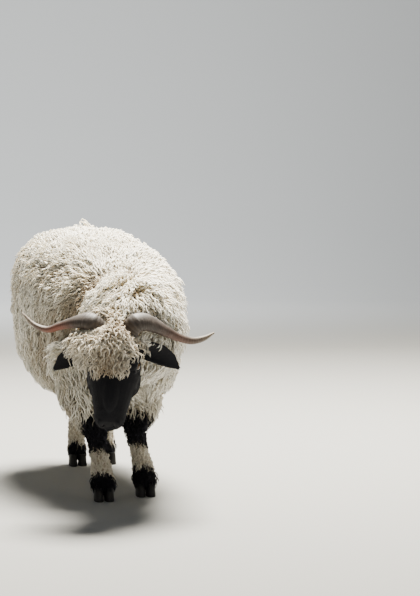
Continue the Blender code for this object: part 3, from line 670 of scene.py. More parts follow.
def markings(points, zone):
    """0 for cream wool and 1 for black."""
    measured = points - np.array(SHIFT)
    across, along, height = measured.T
    wavy = height + 0.010 * uneven(points, 60.0, 5)
    fore = along < 0.05
    knee = ramp(wavy, 0.144, 0.154) * (1 - ramp(wavy, 0.250, 0.262))
    axis = np.where(across < -0.025, -0.087, 0.037)
    knee *= 1 - ramp(np.abs(across - axis), 0.034, 0.044) * ramp(height, 0.205, 0.215)
    hock = ramp(wavy, 0.196, 0.208) * (1 - ramp(wavy, 0.290, 0.304)) * ramp(along, 0.335, 0.372)
    foot = 1 - ramp(wavy, 0.076, 0.088)
    black = np.where(fore, knee, hock) + foot
    rump = (np.abs(along - 0.43) < 0.045) & (np.abs(across + 0.044) < 0.078)
    black = np.where(rump & (height > 0.38) & (height < 0.60), 1.0, black)
    black[np.isin(zone, (FACE, EAR, BARE))] = 1.0
    black[zone == CROWN_WOOL] = 0.0
    return np.clip(black, 0.0, 1.0)


def give_values(mesh, **named):
    """Stores a named number on every point of a mesh."""
    for name, values in named.items():
        layer = mesh.attributes.new(name, "FLOAT", "POINT")
        layer.data.foreach_set("value", np.asarray(values, np.float32))


skin_points, skin_facings = mesh_points(skin)
faces_of_head = np.zeros(len(skin_points), bool)
for polygon in skin.data.polygons:
    if on_head[polygon.index]:
        faces_of_head[list(polygon.vertices)] = True
skin_zones = zone_of(skin_points, faces_of_head)
give_values(skin.data, mark=markings(skin_points, skin_zones), bare=(skin_zones == BARE))
print("skin points by zone:", np.bincount(skin_zones))

# %% [markdown]
# Finishes. The skin is seen only on the face, the ears and between curls, so it is matt
# with a fine hair-like bump, and a little glossier where it is bare: nose, lips and lids.
# Wool is darker and warmer at its root, partly from the dust and grease that stay there and partly as
# painted shade deep in the coat, and pale at its tip.

# %% Finishes of skin and wool
BLACK = (0.005, 0.005, 0.007)
WHITE = (1.0, 1.0, 1.0)


class Nodes:
    """A short way to write a material's node tree."""

    def __init__(self, material):
        material.use_nodes = True
        self.tree = material.node_tree
        self.shader = self.tree.nodes["Principled BSDF"]

    def node(self, kind, **inputs):
        made = self.tree.nodes.new(kind)
        for key, value in inputs.items():
            self.feed(made.inputs[key.replace("_", " ")], value)
        return made

    def feed(self, socket, value):
        if isinstance(value, bpy.types.NodeSocket):
            self.tree.links.new(value, socket)
        elif isinstance(value, tuple) and len(value) == 3 and socket.type == "RGBA":
            socket.default_value = (*value, 1.0)
        else:
            socket.default_value = value

    def stored(self, name):
        made = self.node("ShaderNodeAttribute")
        made.attribute_name = name
        return made.outputs["Fac"]

    def mixed(self, share, first, second, blend="MIX"):
        made = self.tree.nodes.new("ShaderNodeMix")
        made.data_type = "RGBA"
        made.blend_type = blend
        self.feed(made.inputs[0], share)
        self.feed(made.inputs[6], first)
        self.feed(made.inputs[7], second)
        return made.outputs[2]

    def ramped(self, value, stops):
        made = self.tree.nodes.new("ShaderNodeValToRGB")
        self.feed(made.inputs[0], value)
        while len(made.color_ramp.elements) < len(stops):
            made.color_ramp.elements.new(0.5)
        for element, (place, colour) in zip(made.color_ramp.elements, stops):
            element.position = place
            element.color = (*colour, 1.0)
        return made.outputs["Color"]

    def noise(self, scale, detail=3.0):
        place = self.tree.nodes.new("ShaderNodeTexCoord").outputs["Object"]
        return self.node("ShaderNodeTexNoise", Vector=place, Scale=scale, Detail=detail).outputs["Fac"]

    def bump(self, height, strength, distance):
        made = self.node("ShaderNodeBump", Height=height, Strength=strength, Distance=distance)
        self.feed(self.shader.inputs["Normal"], made.outputs["Normal"])

    def finish(self, colour, roughness, specular=0.5):
        self.feed(self.shader.inputs["Base Color"], colour)
        self.feed(self.shader.inputs["Roughness"], roughness)
        self.shader.inputs["Specular IOR Level"].default_value = specular


nodes = Nodes(skin_finish)
under_wool = nodes.mixed(nodes.noise(60.0), (0.38, 0.32, 0.24), (0.50, 0.43, 0.33))
bare_gloss = nodes.ramped(nodes.stored("bare"), ((0.0, (0.85, 0.85, 0.85)), (1.0, (0.45, 0.45, 0.45))))
nodes.finish(nodes.mixed(nodes.stored("mark"), under_wool, BLACK), bare_gloss, 0.22)
nodes.bump(nodes.noise(900.0, 4.0), 0.5, 0.0012)

wool = bpy.data.materials.new("wool")
nodes = Nodes(wool)
# the root end is darker and warmer: partly real dust and grease, partly painted shade deep in the coat
fibre_and_depth_shade = nodes.ramped(nodes.stored("along"), ((0.0, (0.66, 0.58, 0.45)), (0.30, (0.82, 0.76, 0.63)),
                                             (1.0, (0.93, 0.88, 0.755))))
# mixed towards brown by a value that holds real dust and grease and also painted shade and painted
# highlight
stained = nodes.mixed(nodes.stored("stain"), fibre_and_depth_shade, (0.36, 0.285, 0.20))
# tone: random differences, and on the body's fleece also painted shade and painted highlight
toned = nodes.mixed(nodes.stored("tone"), (0.80, 0.79, 0.78), WHITE)
shaded = nodes.mixed(1.0, stained, toned, "MULTIPLY")
nodes.finish(nodes.mixed(nodes.stored("mark"), shaded, BLACK), 0.92, 0.15)
nodes.shader.inputs["Subsurface Weight"].default_value = 0.55
nodes.shader.inputs["Subsurface Radius"].default_value = (1.0, 0.93, 0.84)
nodes.shader.inputs["Subsurface Scale"].default_value = 0.006
nodes.bump(nodes.noise(1100.0, 2.0), 0.5, 0.0008)

hair = bpy.data.materials.new("black_hair")
nodes = Nodes(hair)
hair_colour = nodes.mixed(nodes.stored("tone"), (0.004, 0.004, 0.006), (0.011, 0.011, 0.014))
nodes.finish(hair_colour, 0.72, 0.14)
skin.data.materials.clear()
skin.data.materials.append(skin_finish)
print("finishes:", [material.name for material in (skin_finish, wool, hair)])

# %% [markdown]
# The horns are flat and turn outwards in an open curl. They are sleeves again: many ovals
# strung on the curl, turned a little more at each step, and every few millimetres one
# swells, as the growth rings do.

# %% Horns
HORN_RIGHT = in_mm((-106, -621, 508), (-132, -627, 530), (-153, -609, 532), (-178, -587, 527),
                   (-211, -562, 516), (-243, -546, 506), (-277, -530, 518), (-309, -515, 550))
HORN_LEFT = in_mm((-32, -637, 504), (-12, -643, 527), (17, -627, 528), (47, -609, 516),
                  (84, -590, 497), (118, -570, 480), (158, -552, 469), (195, -538, 474),
                  (226, -526, 488))
HORN_WIDTHS = in_mm(270, 275, 270, 220, 160, 125, 105, 75, 24, parts=10)
HORN_DEPTHS = in_mm(190, 190, 180, 150, 120, 100, 85, 60, 22, parts=10)
HORN_TWIST = 40.0
RING_GAP = 0.0085
RING_SWELL = 0.075
# where along the horn the painted reddish glow of light shining through it is strongest, and how far
# it spreads, as shares
GLOW_MIDDLE = 0.62
GLOW_SPREAD = 0.16

horn_finish = bpy.data.materials.new("horn")
nodes = Nodes(horn_finish)
streaks = nodes.noise(70.0, 5.0)
horn_colour = nodes.ramped(streaks, ((0.30, (0.045, 0.036, 0.031)), (0.55, (0.080, 0.066, 0.057)),
                                     (0.75, (0.130, 0.108, 0.092))))
# painted shade in the grooves between the growth rings: darker where the ridge value is low
ring_groove_shade = nodes.mixed(nodes.stored("ridge"), (0.62, 0.58, 0.54), WHITE)
# a painted reddish glow, as of light shining through the horn
flushed = nodes.mixed(nodes.stored("flush"), horn_colour, (0.26, 0.085, 0.055))
# paler towards the tip: partly the horn's own paler tip, partly a painted highlight
pale_tip_and_highlight = nodes.mixed(nodes.stored("along"), flushed, (0.44, 0.36, 0.28))
nodes.finish(nodes.mixed(1.0, pale_tip_and_highlight, ring_groove_shade, "MULTIPLY"), 0.55, 0.35)
nodes.bump(nodes.noise(420.0, 4.0), 0.35, 0.0010)


def horn(name, path, flush):
    """The third argument is how strong a painted reddish glow, as of light shining through the horn,
    is on its lower front in its middle.
    """
    line = [point + SHIFT for point in smooth_path(path, 12)]
    side = Vector((0, 0.3, 1)).normalized()
    walked = 0.0
    ovals = []
    ridges = []
    for i, centre in enumerate(line):
        share = i / (len(line) - 1)
        ahead = heading(line, i)
        side = (side - ahead * side.dot(ahead)).normalized()
        turned = Matrix.Rotation(math.radians(HORN_TWIST) * share, 3, ahead) @ side
        walked += (centre - line[max(i - 1, 0)]).length
        wave = 0.5 + 0.5 * math.cos(2 * math.pi * walked / RING_GAP * (1 + 0.3 * share))
        ridge = wave ** 1.5
        grown = 1 + RING_SWELL * (ridge - 0.4) * min(1.0, (1 - share) * 2.2)
        depth = sampled(HORN_DEPTHS, share) * grown
        ovals.append(oval(centre, turned, ahead.cross(turned), sampled(HORN_WIDTHS, share) * grown,
                          depth, depth))
        ridges.append((share, ridge))
    made = sleeve(name + "_curl", ovals)
    given = [ridges[min(range(len(line)), key=lambda k: (line[k] - vert.co).length)]
             for vert in made.data.vertices]
    # the glow is painted on the faces turned forwards and down
    low_side = [max(0.0, 0.2 - 0.9 * vert.normal.y - 0.5 * vert.normal.z)
                for vert in made.data.vertices]
    middle = [math.exp(-((value[0] - GLOW_MIDDLE) / GLOW_SPREAD) ** 2) for value in given]
    give_values(made.data, along=[value[0] ** 6 * 0.8 for value in given],
                ridge=[value[1] for value in given],
                flush=[min(1.0, flush * a * b) for a, b in zip(low_side, middle)])
    made.data.materials.append(horn_finish)
    only(made)
    bpy.ops.object.shade_smooth()
    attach(made, "root")
    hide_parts(name)
    print(name, len(line), "rings")


horn("horn_right", HORN_RIGHT, 1.0)
horn("horn_left", HORN_LEFT, 0.3)

# %% [markdown]
# A sheep's eye is amber with a long level pupil; here the amber is darkened to a deep brown,
# painted shade of the eye in its socket. The ball is a sphere whose own measures, kept on
# its points, tell the finish where the pupil, the iris and the dark rim are.

# %% Eyes
# half sizes of the pupil, as shares of the ball's radius
PUPIL_LENGTH = 0.40
PUPIL_HEIGHT = 0.15
FAR_OFF = 1.6
eye_finish = bpy.data.materials.new("eye")
nodes = Nodes(eye_finish)
# the iris's amber darkened to deep brown, painted shade
shaded_iris = nodes.mixed(nodes.noise(1500.0), (0.045, 0.024, 0.010), (0.11, 0.060, 0.022))
rimmed = nodes.ramped(nodes.stored("off_axis"), ((0.0, WHITE), (0.60, WHITE),
                                                 (0.72, (0.03, 0.02, 0.015))))
seen = nodes.mixed(1.0, shaded_iris, rimmed, "MULTIPLY")
pupil = nodes.ramped(nodes.stored("off_pupil"), ((0.90, WHITE), (1.0, (0.0, 0.0, 0.0))))
nodes.finish(nodes.mixed(pupil, seen, (0.003, 0.003, 0.004)), 0.12, 0.35)

for side, name in ((1, "eye_left"), (-1, "eye_right")):
    place = HEAD @ mirrored(EYE_PLACE, side)
    gaze = (HEAD_TURN @ mirrored(EYE_GAZE, side)).normalized()
    level_way = HEAD_TURN @ Vector((0, -1, 0)) + Vector((0, -1.2, 0))
    slot_way = (level_way - gaze * level_way.dot(gaze)).normalized()
    bpy.ops.mesh.primitive_uv_sphere_add(segments=48, ring_count=32, radius=EYE_RADIUS,
                                         location=place)
    ball = bpy.context.object
    ball.name = name + "_ball"
    bpy.ops.object.transform_apply(location=True)
    spots = [(vert.co - place) / EYE_RADIUS for vert in ball.data.vertices]
    off_axis = [math.sqrt(max(0.0, 1 - max(spot.dot(gaze), 0.0) ** 2)) for spot in spots]
    square_way = gaze.cross(slot_way)
    off_pupil = [min(FAR_OFF, math.hypot(spot.dot(slot_way) / PUPIL_LENGTH,
                                         spot.dot(square_way) / PUPIL_HEIGHT))
                 if spot.dot(gaze) > 0 else FAR_OFF for spot in spots]
    give_values(ball.data, off_axis=off_axis, off_pupil=off_pupil)
    ball.data.materials.append(eye_finish)
    bpy.ops.object.shade_smooth()
    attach(ball, "root")
    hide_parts(name)
    print(ball.name, "at", [round(v, 3) for v in place])

# %% [markdown]
# Each foot has two claws, flat below, with the toe ahead and the wall sloping back up to
# the hair. Two dewclaws sit behind the pastern.

# %% Claws
hoof_finish = bpy.data.materials.new("hoof")
nodes = Nodes(hoof_finish)
nodes.finish(nodes.mixed(nodes.noise(140.0), (0.008, 0.008, 0.008), (0.024, 0.021, 0.019)), 0.60, 0.3)
nodes.bump(nodes.noise(600.0), 0.3, 0.0008)
# height, y, half width, front, back
CLAW = in_mm((0, -100, 122, 325, 245), (12, -100, 135, 340, 260), (60, -96, 137, 330, 262),
             (120, -90, 135, 310, 260), (240, -95, 130, 268, 246),
             (362, -100, 120, 220, 230), parts=10)
CLAW_APART = 0.0148
DEWCLAW_PLACE = (0.015, 0.034, 0.064)
DEWCLAW_SIZES = (0.0070, 0.0075, 0.0115)
for place, foot in FEET.items():
    for side, hand in ((-1, "right"), (1, "left")):
        name = f"hoof_{place}_{hand}"
        ovals = [oval(foot + SHIFT + Vector((side * CLAW_APART, y, z)), (1, 0, 0), (0, -1, 0),
                      width, front, behind, (2.4, 2.4)) for z, y, width, front, behind in CLAW]
        claw = sleeve(name, ovals)
        only(claw)
        bpy.ops.mesh.primitive_uv_sphere_add(segments=16, ring_count=10, radius=1.0,
                                             location=foot + SHIFT + mirrored(DEWCLAW_PLACE, side))
        dewclaw = bpy.context.object
        dewclaw.scale = DEWCLAW_SIZES
        claw = join([claw, dewclaw], name + "_claw")
        claw.data.materials.append(hoof_finish)
        only(claw)
        bpy.ops.object.shade_smooth_by_angle(angle=math.radians(50))
        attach(claw, "root")
        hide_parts(name)
print("claws:", 2 * len(FEET))

# %% [markdown]
# Places for the locks. Random points on the skin would leave bald spots and crowds, so
# more points are thrown than needed, and each one kept clears a small circle around it.

# %% Roots on the skin
WOOL_DENSITY = 120000
HAIR_DENSITY = 400000
ZONE_SPACING = {FLEECE: 0.0063, LEG: 0.0051, FOOT: 0.0042, CROWN_WOOL: 0.0047, FACE: 0.0031,
                EAR: 0.0034, BARE: 0.01}


def thrown_points(per_square_metre):
    """Random points on the skin, with their normals, unwrap places and head marks."""
    mesh = skin.data
    mesh.calc_loop_triangles()
    corners = read_rows(mesh.loop_triangles, "vertices", 3, np.int32)
    loops = read_rows(mesh.loop_triangles, "loops", 3, np.int32)
    unwrap = read_rows(mesh.uv_layers.active.data, "uv", 2)
    a, b, c = (skin_points[corners[:, k]] for k in range(3))
    area = np.linalg.norm(np.cross(b - a, c - a), axis=1) / 2
    count = int(area.sum() * per_square_metre)
    chosen = rng.choice(len(area), count, p=area / area.sum())
    share = rng.random((count, 2))
    share = np.where(share.sum(axis=1, keepdims=True) > 1, 1 - share, share)
    weights = np.column_stack([1 - share.sum(axis=1), share])
    place = np.einsum("nk,nkd->nd", weights, skin_points[corners[chosen]])
    facing = np.einsum("nk,nkd->nd", weights, skin_facings[corners[chosen]])
    facing /= np.linalg.norm(facing, axis=1, keepdims=True)
    uv = np.einsum("nk,nkd->nd", weights, unwrap[loops[chosen]])
    return place, facing, uv, faces_of_head[corners[chosen]].all(axis=1)


def tree_of(places):
    tree = KDTree(len(places))
    for i, place in enumerate(places):
        tree.insert(place, i)
    tree.balance()
    return tree


def thinned(places, spacings):
    """Keeps points in turn, and drops the ones too near to a kept one."""
    tree = tree_of(places)
    kept = []
    free = np.ones(len(places), bool)
    for i, place in enumerate(places):
        if free[i]:
            kept.append(i)
            for _, other, _ in tree.find_range(place, spacings[i]):
                free[other] = False
    return np.array(kept)


def taken(arrays, which):
    """The same rows out of several arrays."""
    return [array[which] for array in arrays]


def chosen_roots(zones, density):
    """Places, normals, unwrap places and zones of the roots in some zones."""
    places, facings, uvs, head_points = thrown_points(density)
    zone = zone_of(places, head_points)
    roots = taken((places, facings, uvs, zone), np.isin(zone, zones))
    spacing = np.array([ZONE_SPACING[kind] for kind in range(len(ZONE_SPACING))])[roots[3]]
    return taken(roots, thinned(roots[0], spacing))


# %% [markdown]
# One straight lock is modelled for a piece: a cone with few sides, cut across into short
# lengths. Each real lock is a copy of it, bent along its own curl: it rises from the skin, leans
# over in the direction the wool lies, and winds round that line like a corkscrew.

# %% A straight lock, and its copies
ROOT_SUNK = 0.004
# the side of each lock's patch on the unwrap, as a share of the whole
PATCH = 0.003
# how thick a lock is from its root to its tip, as a share of its thickness
LOCK_PROFILE = (0.80, 1.00, 1.05, 1.00, 0.85, 0.55, 0.30)


def straight_lock(sides, lengths):
    """The cone's points as (level, x, y), and its faces."""
    bpy.ops.mesh.primitive_cone_add(vertices=sides, radius1=1.0, radius2=0.0, depth=1.0,
                                    location=(0, 0, 0.5))
    cone = bpy.context.object
    bpy.ops.object.transform_apply(location=True)
    bpy.ops.object.mode_set(mode="EDIT")
    for level in range(1, lengths):
        bpy.ops.mesh.select_all(action="SELECT")
        bpy.ops.mesh.bisect(plane_co=(0, 0, level / lengths), plane_no=(0, 0, 1))
    bpy.ops.object.mode_set(mode="OBJECT")
    level = [round(vert.co.z * lengths) for vert in cone.data.vertices]
    x, y = ([0.0 if k == lengths else vert.co[axis] / max(1 - vert.co.z, 1e-6)
             for k, vert in zip(level, cone.data.vertices)] for axis in (0, 1))
    faces = [list(polygon.vertices) for polygon in cone.data.polygons]
    bpy.data.objects.remove(cone, do_unlink=True)
    return np.array(level), np.array(x), np.array(y), faces


def unit(vectors):
    return vectors / np.maximum(np.linalg.norm(vectors, axis=-1, keepdims=True), 1e-9)


def square_to(directions, line):
    """The directions with what they have along the line taken out."""
    return directions - line * (directions * line).sum(axis=-1, keepdims=True)


def lock_lines(roots, facings, lays, height, reach, curl, turns, levels, gather=None):
    """Where each lock's middle runs, with two directions square to it."""
    share = np.linspace(0, 1, levels + 1)[None, :, None]
    height, reach, curl, turns = (np.reshape(values, (-1, 1, 1))
                                  for values in (height, reach, curl, turns))
    rise = height * ((1 - (1 - share) ** 2.2) - 0.22 * share ** 3) - ROOT_SUNK
    line = roots[:, None, :] + facings[:, None, :] * rise + lays[:, None, :] * reach * share ** 1.35
    if gather is not None:
        line = line + gather[:, None, :] * share ** 1.4
    ahead = unit(np.gradient(line, axis=1))
    sideways = unit(square_to(unit(np.cross(lays, facings))[:, None, :], ahead))
    outwards = np.cross(sideways, ahead)
    start = rng.random((len(roots), 1, 1)) * 2 * math.pi
    hand = rng.choice((-1.0, 1.0), (len(roots), 1, 1))
    angle = start + hand * 2 * math.pi * turns * share
    radius = curl * np.minimum(1, share * 4) * (1 - 0.35 * share)
    line = line + radius * (np.cos(angle) * outwards + np.sin(angle) * sideways)
    ahead = unit(np.gradient(line, axis=1))
    first = unit(square_to(outwards, ahead))
    return line, first, np.cross(ahead, first)


def lock_piece(name, finish, sides, width, lines, uvs, **values):
    """Copies the straight lock along every line, into one piece."""
    line, first, second = lines
    count = len(line)
    levels = line.shape[1] - 1
    level, x, y, faces = straight_lock(sides, levels)
    profile = np.array([sampled(LOCK_PROFILE, k / levels) for k in range(levels + 1)])
    points = line[:, level] + (width * profile)[level][:, None] * (
        x[None, :, None] * first[:, level] + y[None, :, None] * second[:, level])
    corner = np.array([v for face in faces for v in face])
    sizes = np.array([len(face) for face in faces])
    all_corners = (corner[None, :] + (np.arange(count) * len(level))[:, None]).ravel()
    starts = np.concatenate([[0], np.cumsum(np.tile(sizes, count))[:-1]])
    mesh = bpy.data.meshes.new(name)
    mesh.vertices.add(points.shape[0] * points.shape[1])
    mesh.vertices.foreach_set("co", points.astype(np.float32).ravel())
    mesh.loops.add(len(all_corners))
    mesh.loops.foreach_set("vertex_index", all_corners.astype(np.int32))
    mesh.polygons.add(len(starts))
    mesh.polygons.foreach_set("loop_start", starts.astype(np.int32))
    mesh.polygons.foreach_set("use_smooth", np.ones(len(starts), bool))
    mesh.update(calc_edges=True)
    patch = np.column_stack([x[corner] * 0.5, level[corner] / levels - 0.5]) * PATCH
    unwrap = mesh.uv_layers.new(name="OFBake")
    unwrap.data.foreach_set("uv", (uvs[:, None, :] + patch[None]).astype(np.float32).ravel())
    spread = {key: np.repeat(np.asarray(value, float), len(level)) for key, value in values.items()}
    give_values(mesh, along=np.tile(level / levels, count), **spread)
    mesh.materials.append(finish)
    piece = bpy.data.objects.new(name, mesh)
    bpy.context.scene.collection.objects.link(piece)
    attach(piece, "root")
    print(name, count, "locks,", count * int((sizes - 2).sum()), "triangles")


# %% [markdown]
# Wool gives way to what stands in it. Horns and ears are described again as rows of balls.
# A lock that would run into one of them is grown again, shorter, and only a lock that
# still runs into it is left out, so that no bare skin shows round a horn. One more row of
# balls keeps the strip from her left ear past the eye down to the face bare. Other balls
# mark where the wool lies flat: just in front of the horns' bases, and over the lower half
# of her left ear.

# %% Keeping the wool off horns and ears
EYE_STRIP = in_mm((70, -76, 36), (70, -92, 40), (68, -108, 42), (64, -124, 44), (60, -140, 44))
EYE_STRIP_RADIUS = 0.0145


def balls(path, widths, fullness):
    """A row of balls, as middles and radii, along a horn or an ear."""
    line = smooth_path(path, 8)
    return [(point + SHIFT, sampled(widths, i / (len(line) - 1)) * fullness)
            for i, point in enumerate(line)]


STANDING_IN_WOOL = (balls(HORN_RIGHT, HORN_WIDTHS, 0.85) + balls(HORN_LEFT, HORN_WIDTHS, 0.85)
                    + balls(EAR_RIGHT, EAR_WIDTHS, 0.7)[6:] + balls(EAR_LEFT, EAR_WIDTHS, 0.6)[4:])
STANDING_IN_WOOL += [(HEAD @ Vector(point), EYE_STRIP_RADIUS) for point in EYE_STRIP]
# how much shorter a lock in the way is grown, and how near or deep is too much
SHRINK_STEPS = (0.60, 0.40, 0.28)
TOO_NEAR = 0.002
TOO_DEEP = -0.004
BEFORE_HORN = Vector((0.0, -0.028, -0.006))
BEFORE_EAR = Vector((-0.010, -0.012, -0.014))
LOW_WOOL = [(point + BEFORE_HORN, radius) for point, radius in
            balls(HORN_RIGHT, HORN_WIDTHS, 0.75)[4:20] + balls(HORN_LEFT, HORN_WIDTHS, 0.75)[4:24]]
LOW_WOOL += [(point + BEFORE_EAR, radius) for point, radius in balls(EAR_LEFT, EAR_WIDTHS, 0.75)[2:22]]


def is_clear(line, places, margin):
    """Whether each lock's whole line stays clear of all the balls."""
    clear = np.ones(len(line), bool)
    for place, radius in places:
        apart = np.linalg.norm(line - np.array(place), axis=2).min(axis=1)
        clear &= apart > radius + margin
    return clear


def grown_clear(places, facings, lays, height, reach, curl, turns, levels, lean):
    """Lines for all locks, and which of them are kept."""
    lines = lock_lines(places, facings, lays, height, reach, curl, turns, levels, lean)
    for shrink in SHRINK_STEPS:
        short = np.flatnonzero(~is_clear(lines[0], STANDING_IN_WOOL + LOW_WOOL, TOO_NEAR))
        again = lock_lines(*taken((places, facings, lays), short), height[short] * shrink,
                           reach[short] * shrink, curl[short] * shrink, turns[short], levels,
                           lean[short] * shrink)
        for array, shorter in zip(lines, again):
            array[short] = shorter
    return lines, np.flatnonzero(is_clear(lines[0], STANDING_IN_WOOL, TOO_DEEP))


print("balls that the wool keeps clear of:", len(STANDING_IN_WOOL) + len(LOW_WOOL))

# %% [markdown]
# The body's fleece. Wool doesn't stand singly: neighbours lean together into staples, and
# between two staples the coat is open and dark. So the skin also gets a sparse set of
# staple centres, and each lock leans towards the centre that it is nearest to. The coat
# hangs down and a little rearwards, in upright folds on the flanks, and it has a furrow
# where the neck, held low, folds it against the shoulders.

# %% Ways the fleece lies
STAPLE_SPACING = 0.034
CROWN_STAPLE_SPACING = 0.026
# the furrow as seen from above: places to the side, and where along the body it lies there
FURROW_SIDES = in_mm(-160, -130, -100, -70, -42, 0, 36, 70)
FURROW_AHEAD = in_mm(-325, -346, -366, -354, -340, -342, -400, -470)
# where one tuft stands up on the rump
TUFT = (-0.029, 0.262)


def combed(directions, facings, angles):
    """The directions laid flat on the skin, and turned on it by the angles."""
    lays = unit(square_to(directions, facings))
    across = np.cross(facings, lays)
    return lays * np.cos(angles)[:, None] + across * np.sin(angles)[:, None]


def with_head(directions):
    """Directions given in the head's own frame, turned as the head is."""
    return directions @ np.array(HEAD_TURN.to_3x3()).T


def body_flow(measured, facings):
    """Which way the wool hangs: off the spine, down and a little to the rear."""
    from_spine = np.tanh((measured[:, 0] + 0.02) / 0.06)
    upwards = np.maximum(facings[:, 2], 0)
    behind_neck = ramp(measured[:, 1], -0.38, -0.34)
    rearwards = 0.10 - 0.45 * upwards + behind_neck * (0.12 + 1.40 * upwards)
    return np.column_stack([0.30 * from_spine * upwards, rearwards, np.full(len(measured), -1.0)])


def leaning(places, facings, spacing):
    """How far each lock leans to its staple's centre, and a number for the staple."""
    centres = places[thinned(places, np.full(len(places), spacing))]
    tree = tree_of(centres)
    nearest = np.array([tree.find(place)[1] for place in places])
    return square_to(centres[nearest] - places, facings) * 0.50, nearest


# %% [markdown]
# Every lock now gets its measures from where it stands. The wool is shorter in the furrow,
# at the belly and by the face, and longer on the hump of the neck and in the one tuft on
# the rump. Chance turns some locks aside. The wool's colour is darkened at random by dust
# and old grease, and it is darker towards the bottom. Painted shade darkens it in the
# furrow, in a painted shadow band just behind it, in the hollows of the folds and over her
# right side, which faces away from the key; the hump of the neck is painted lighter, a
# painted highlight.

# %% The fleece
PIECE_TRIANGLES = 190000
FLEECE_SIDES = 3
FLEECE_LEVELS = 10
FLEECE_WIDTH = 0.0027
FLEECE_CURL = 0.0041
STRAY_SHARE = 0.06

roots = chosen_roots((FLEECE, LEG, CROWN_WOOL), WOOL_DENSITY)
places, facings, uvs, zone = taken(roots, roots[3] == FLEECE)
measured = places - np.array(SHIFT)
to_left, to_back, up_high = measured.T
lean, staple = leaning(places, facings, STAPLE_SPACING)
staple_chance = rng.random(staple.max() + 1)[staple]
single_chance = rng.random(len(places))
stray = rng.random(len(places)) < STRAY_SHARE
fold = uneven(places * (1.0, 1.0, 0.25), 42.0, 31)
furrow_line = np.interp(to_left, FURROW_SIDES, FURROW_AHEAD) + 0.008 * uneven(places, 25.0, 41)
# how far behind the furrow's bottom each lock stands, or with a minus before it
past = to_back - furrow_line
on_the_back = ramp(up_high, 0.42, 0.52) * (1 - ramp(to_left, 0.030, 0.070))
furrow = swell(past, 0.0, 0.024) * on_the_back
by_furrow = swell(past, -0.030, 0.036) * on_the_back
behind = swell(past, 0.034, 0.034) * on_the_back * (1 - 0.5 * ramp(to_left, -0.02, 0.04))
hump = swell(past, -0.070, 0.040) * on_the_back
left_neck = ramp(to_left, 0.08, 0.16) * ramp(-to_back, 0.16, 0.28)
low = 1 - ramp(up_high, 0.25, 0.33)
at_face = ramp(-to_back, 0.560, 0.600)
tuft = np.exp(-((to_left - TUFT[0]) ** 2 + (to_back - TUFT[1]) ** 2) / 0.020 ** 2)
tuft *= facings[:, 2] > 0.5
swirl = (0.40 * uneven(places, 9.0, 11) + 0.5 * (staple_chance - 0.5) + 0.5 * (single_chance - 0.5)
         + 1.6 * stray * (rng.random(len(places)) - 0.5))
lays = combed(body_flow(measured, facings), facings, swirl)
height = COAT_DEPTH * np.clip(0.76 + 0.26 * fold + 0.08 * staple_chance + 0.08 * single_chance,
                              0.42, 1.0)
height *= (1 - 0.62 * furrow) * (1 - 0.5 * low) * (1 - 0.45 * at_face) * (1 + 0.75 * tuft)
height *= (1 + 0.25 * hump) * (1 - 0.35 * left_neck) * (1 - 0.30 * behind)
reach = (0.056 + 0.020 * rng.random(len(places))) * (1 - 0.4 * low) * (1 - 0.4 * at_face)
reach *= (1 - 0.6 * tuft) * (1 - 0.45 * by_furrow)
curl = FLEECE_CURL * (0.8 + 0.4 * rng.random(len(places))) * (1 + 0.5 * stray)
lines, kept = grown_clear(places, facings, lays, height, reach, curl,
                          1.5 + 0.7 * single_chance, FLEECE_LEVELS, lean)
# painted shade: her right side faces away from the key, so its wool is darkened in colour
shaded_side = ramp(-facings[:, 0], 0.35, 0.95)
# a painted shadow band just behind the furrow, strongest on her right
painted_shadow_band = behind * (1 - 0.75 * ramp(to_left, -0.09, -0.03))
# darkening of the wool's colour: random dust and grease, darker towards the bottom, and painted shade
# in the furrow, the band, the fold hollows and over her right side; less on the hump, a painted
# highlight
stain = (0.03 - (0.14 + 0.34 * shaded_side) * fold + 0.85 * furrow + 0.55 * painted_shadow_band + 0.30 * low
         + 0.08 * uneven(places, 14.0, 21) + 0.34 * shaded_side - 0.25 * hump)
stain = np.clip(stain, 0, 0.85)
# tone differs at random, and also carries painted shade in the fold hollows, the furrow and the band,
# and a painted highlight on the hump
tone = 0.35 + 0.25 * staple_chance + 0.3 * single_chance + 0.25 * fold
tone = np.clip(tone - 0.8 * furrow - 0.5 * painted_shadow_band + 0.5 * hump, 0, 1)
mark = markings(places, zone)
kept = kept[np.argsort(places[kept, 1])]
per_piece = PIECE_TRIANGLES // (2 * FLEECE_SIDES * FLEECE_LEVELS - 2)
for i, part in enumerate(np.array_split(kept, math.ceil(len(kept) / per_piece))):
    lock_piece(f"fleece_{i + 1}", wool, FLEECE_SIDES, FLEECE_WIDTH, taken(lines, part), uvs[part],
               mark=mark[part], stain=stain[part], tone=tone[part])

# %% [markdown]
# The legs carry shorter, tighter curls, down to the pastern, and the feet shaggy short
# wool that hangs over the top of the claws.

# %% Wool of the legs and feet
FOOT_WOOL_DEPTH = 0.0175

places, facings, uvs, zone = chosen_roots((LEG, FOOT), WOOL_DENSITY)
feet = zone == FOOT
chance = rng.random(len(places))
downwards = np.tile((0.0, 0.05, -1.0), (len(places), 1))
lays = combed(downwards, facings, 0.9 * (chance - 0.5))
high = ramp(places[:, 2], 0.19, 0.262)
hind = 1 - 0.4 * (places[:, 1] - SHIFT.y > 0.1)
mark = markings(places, zone)
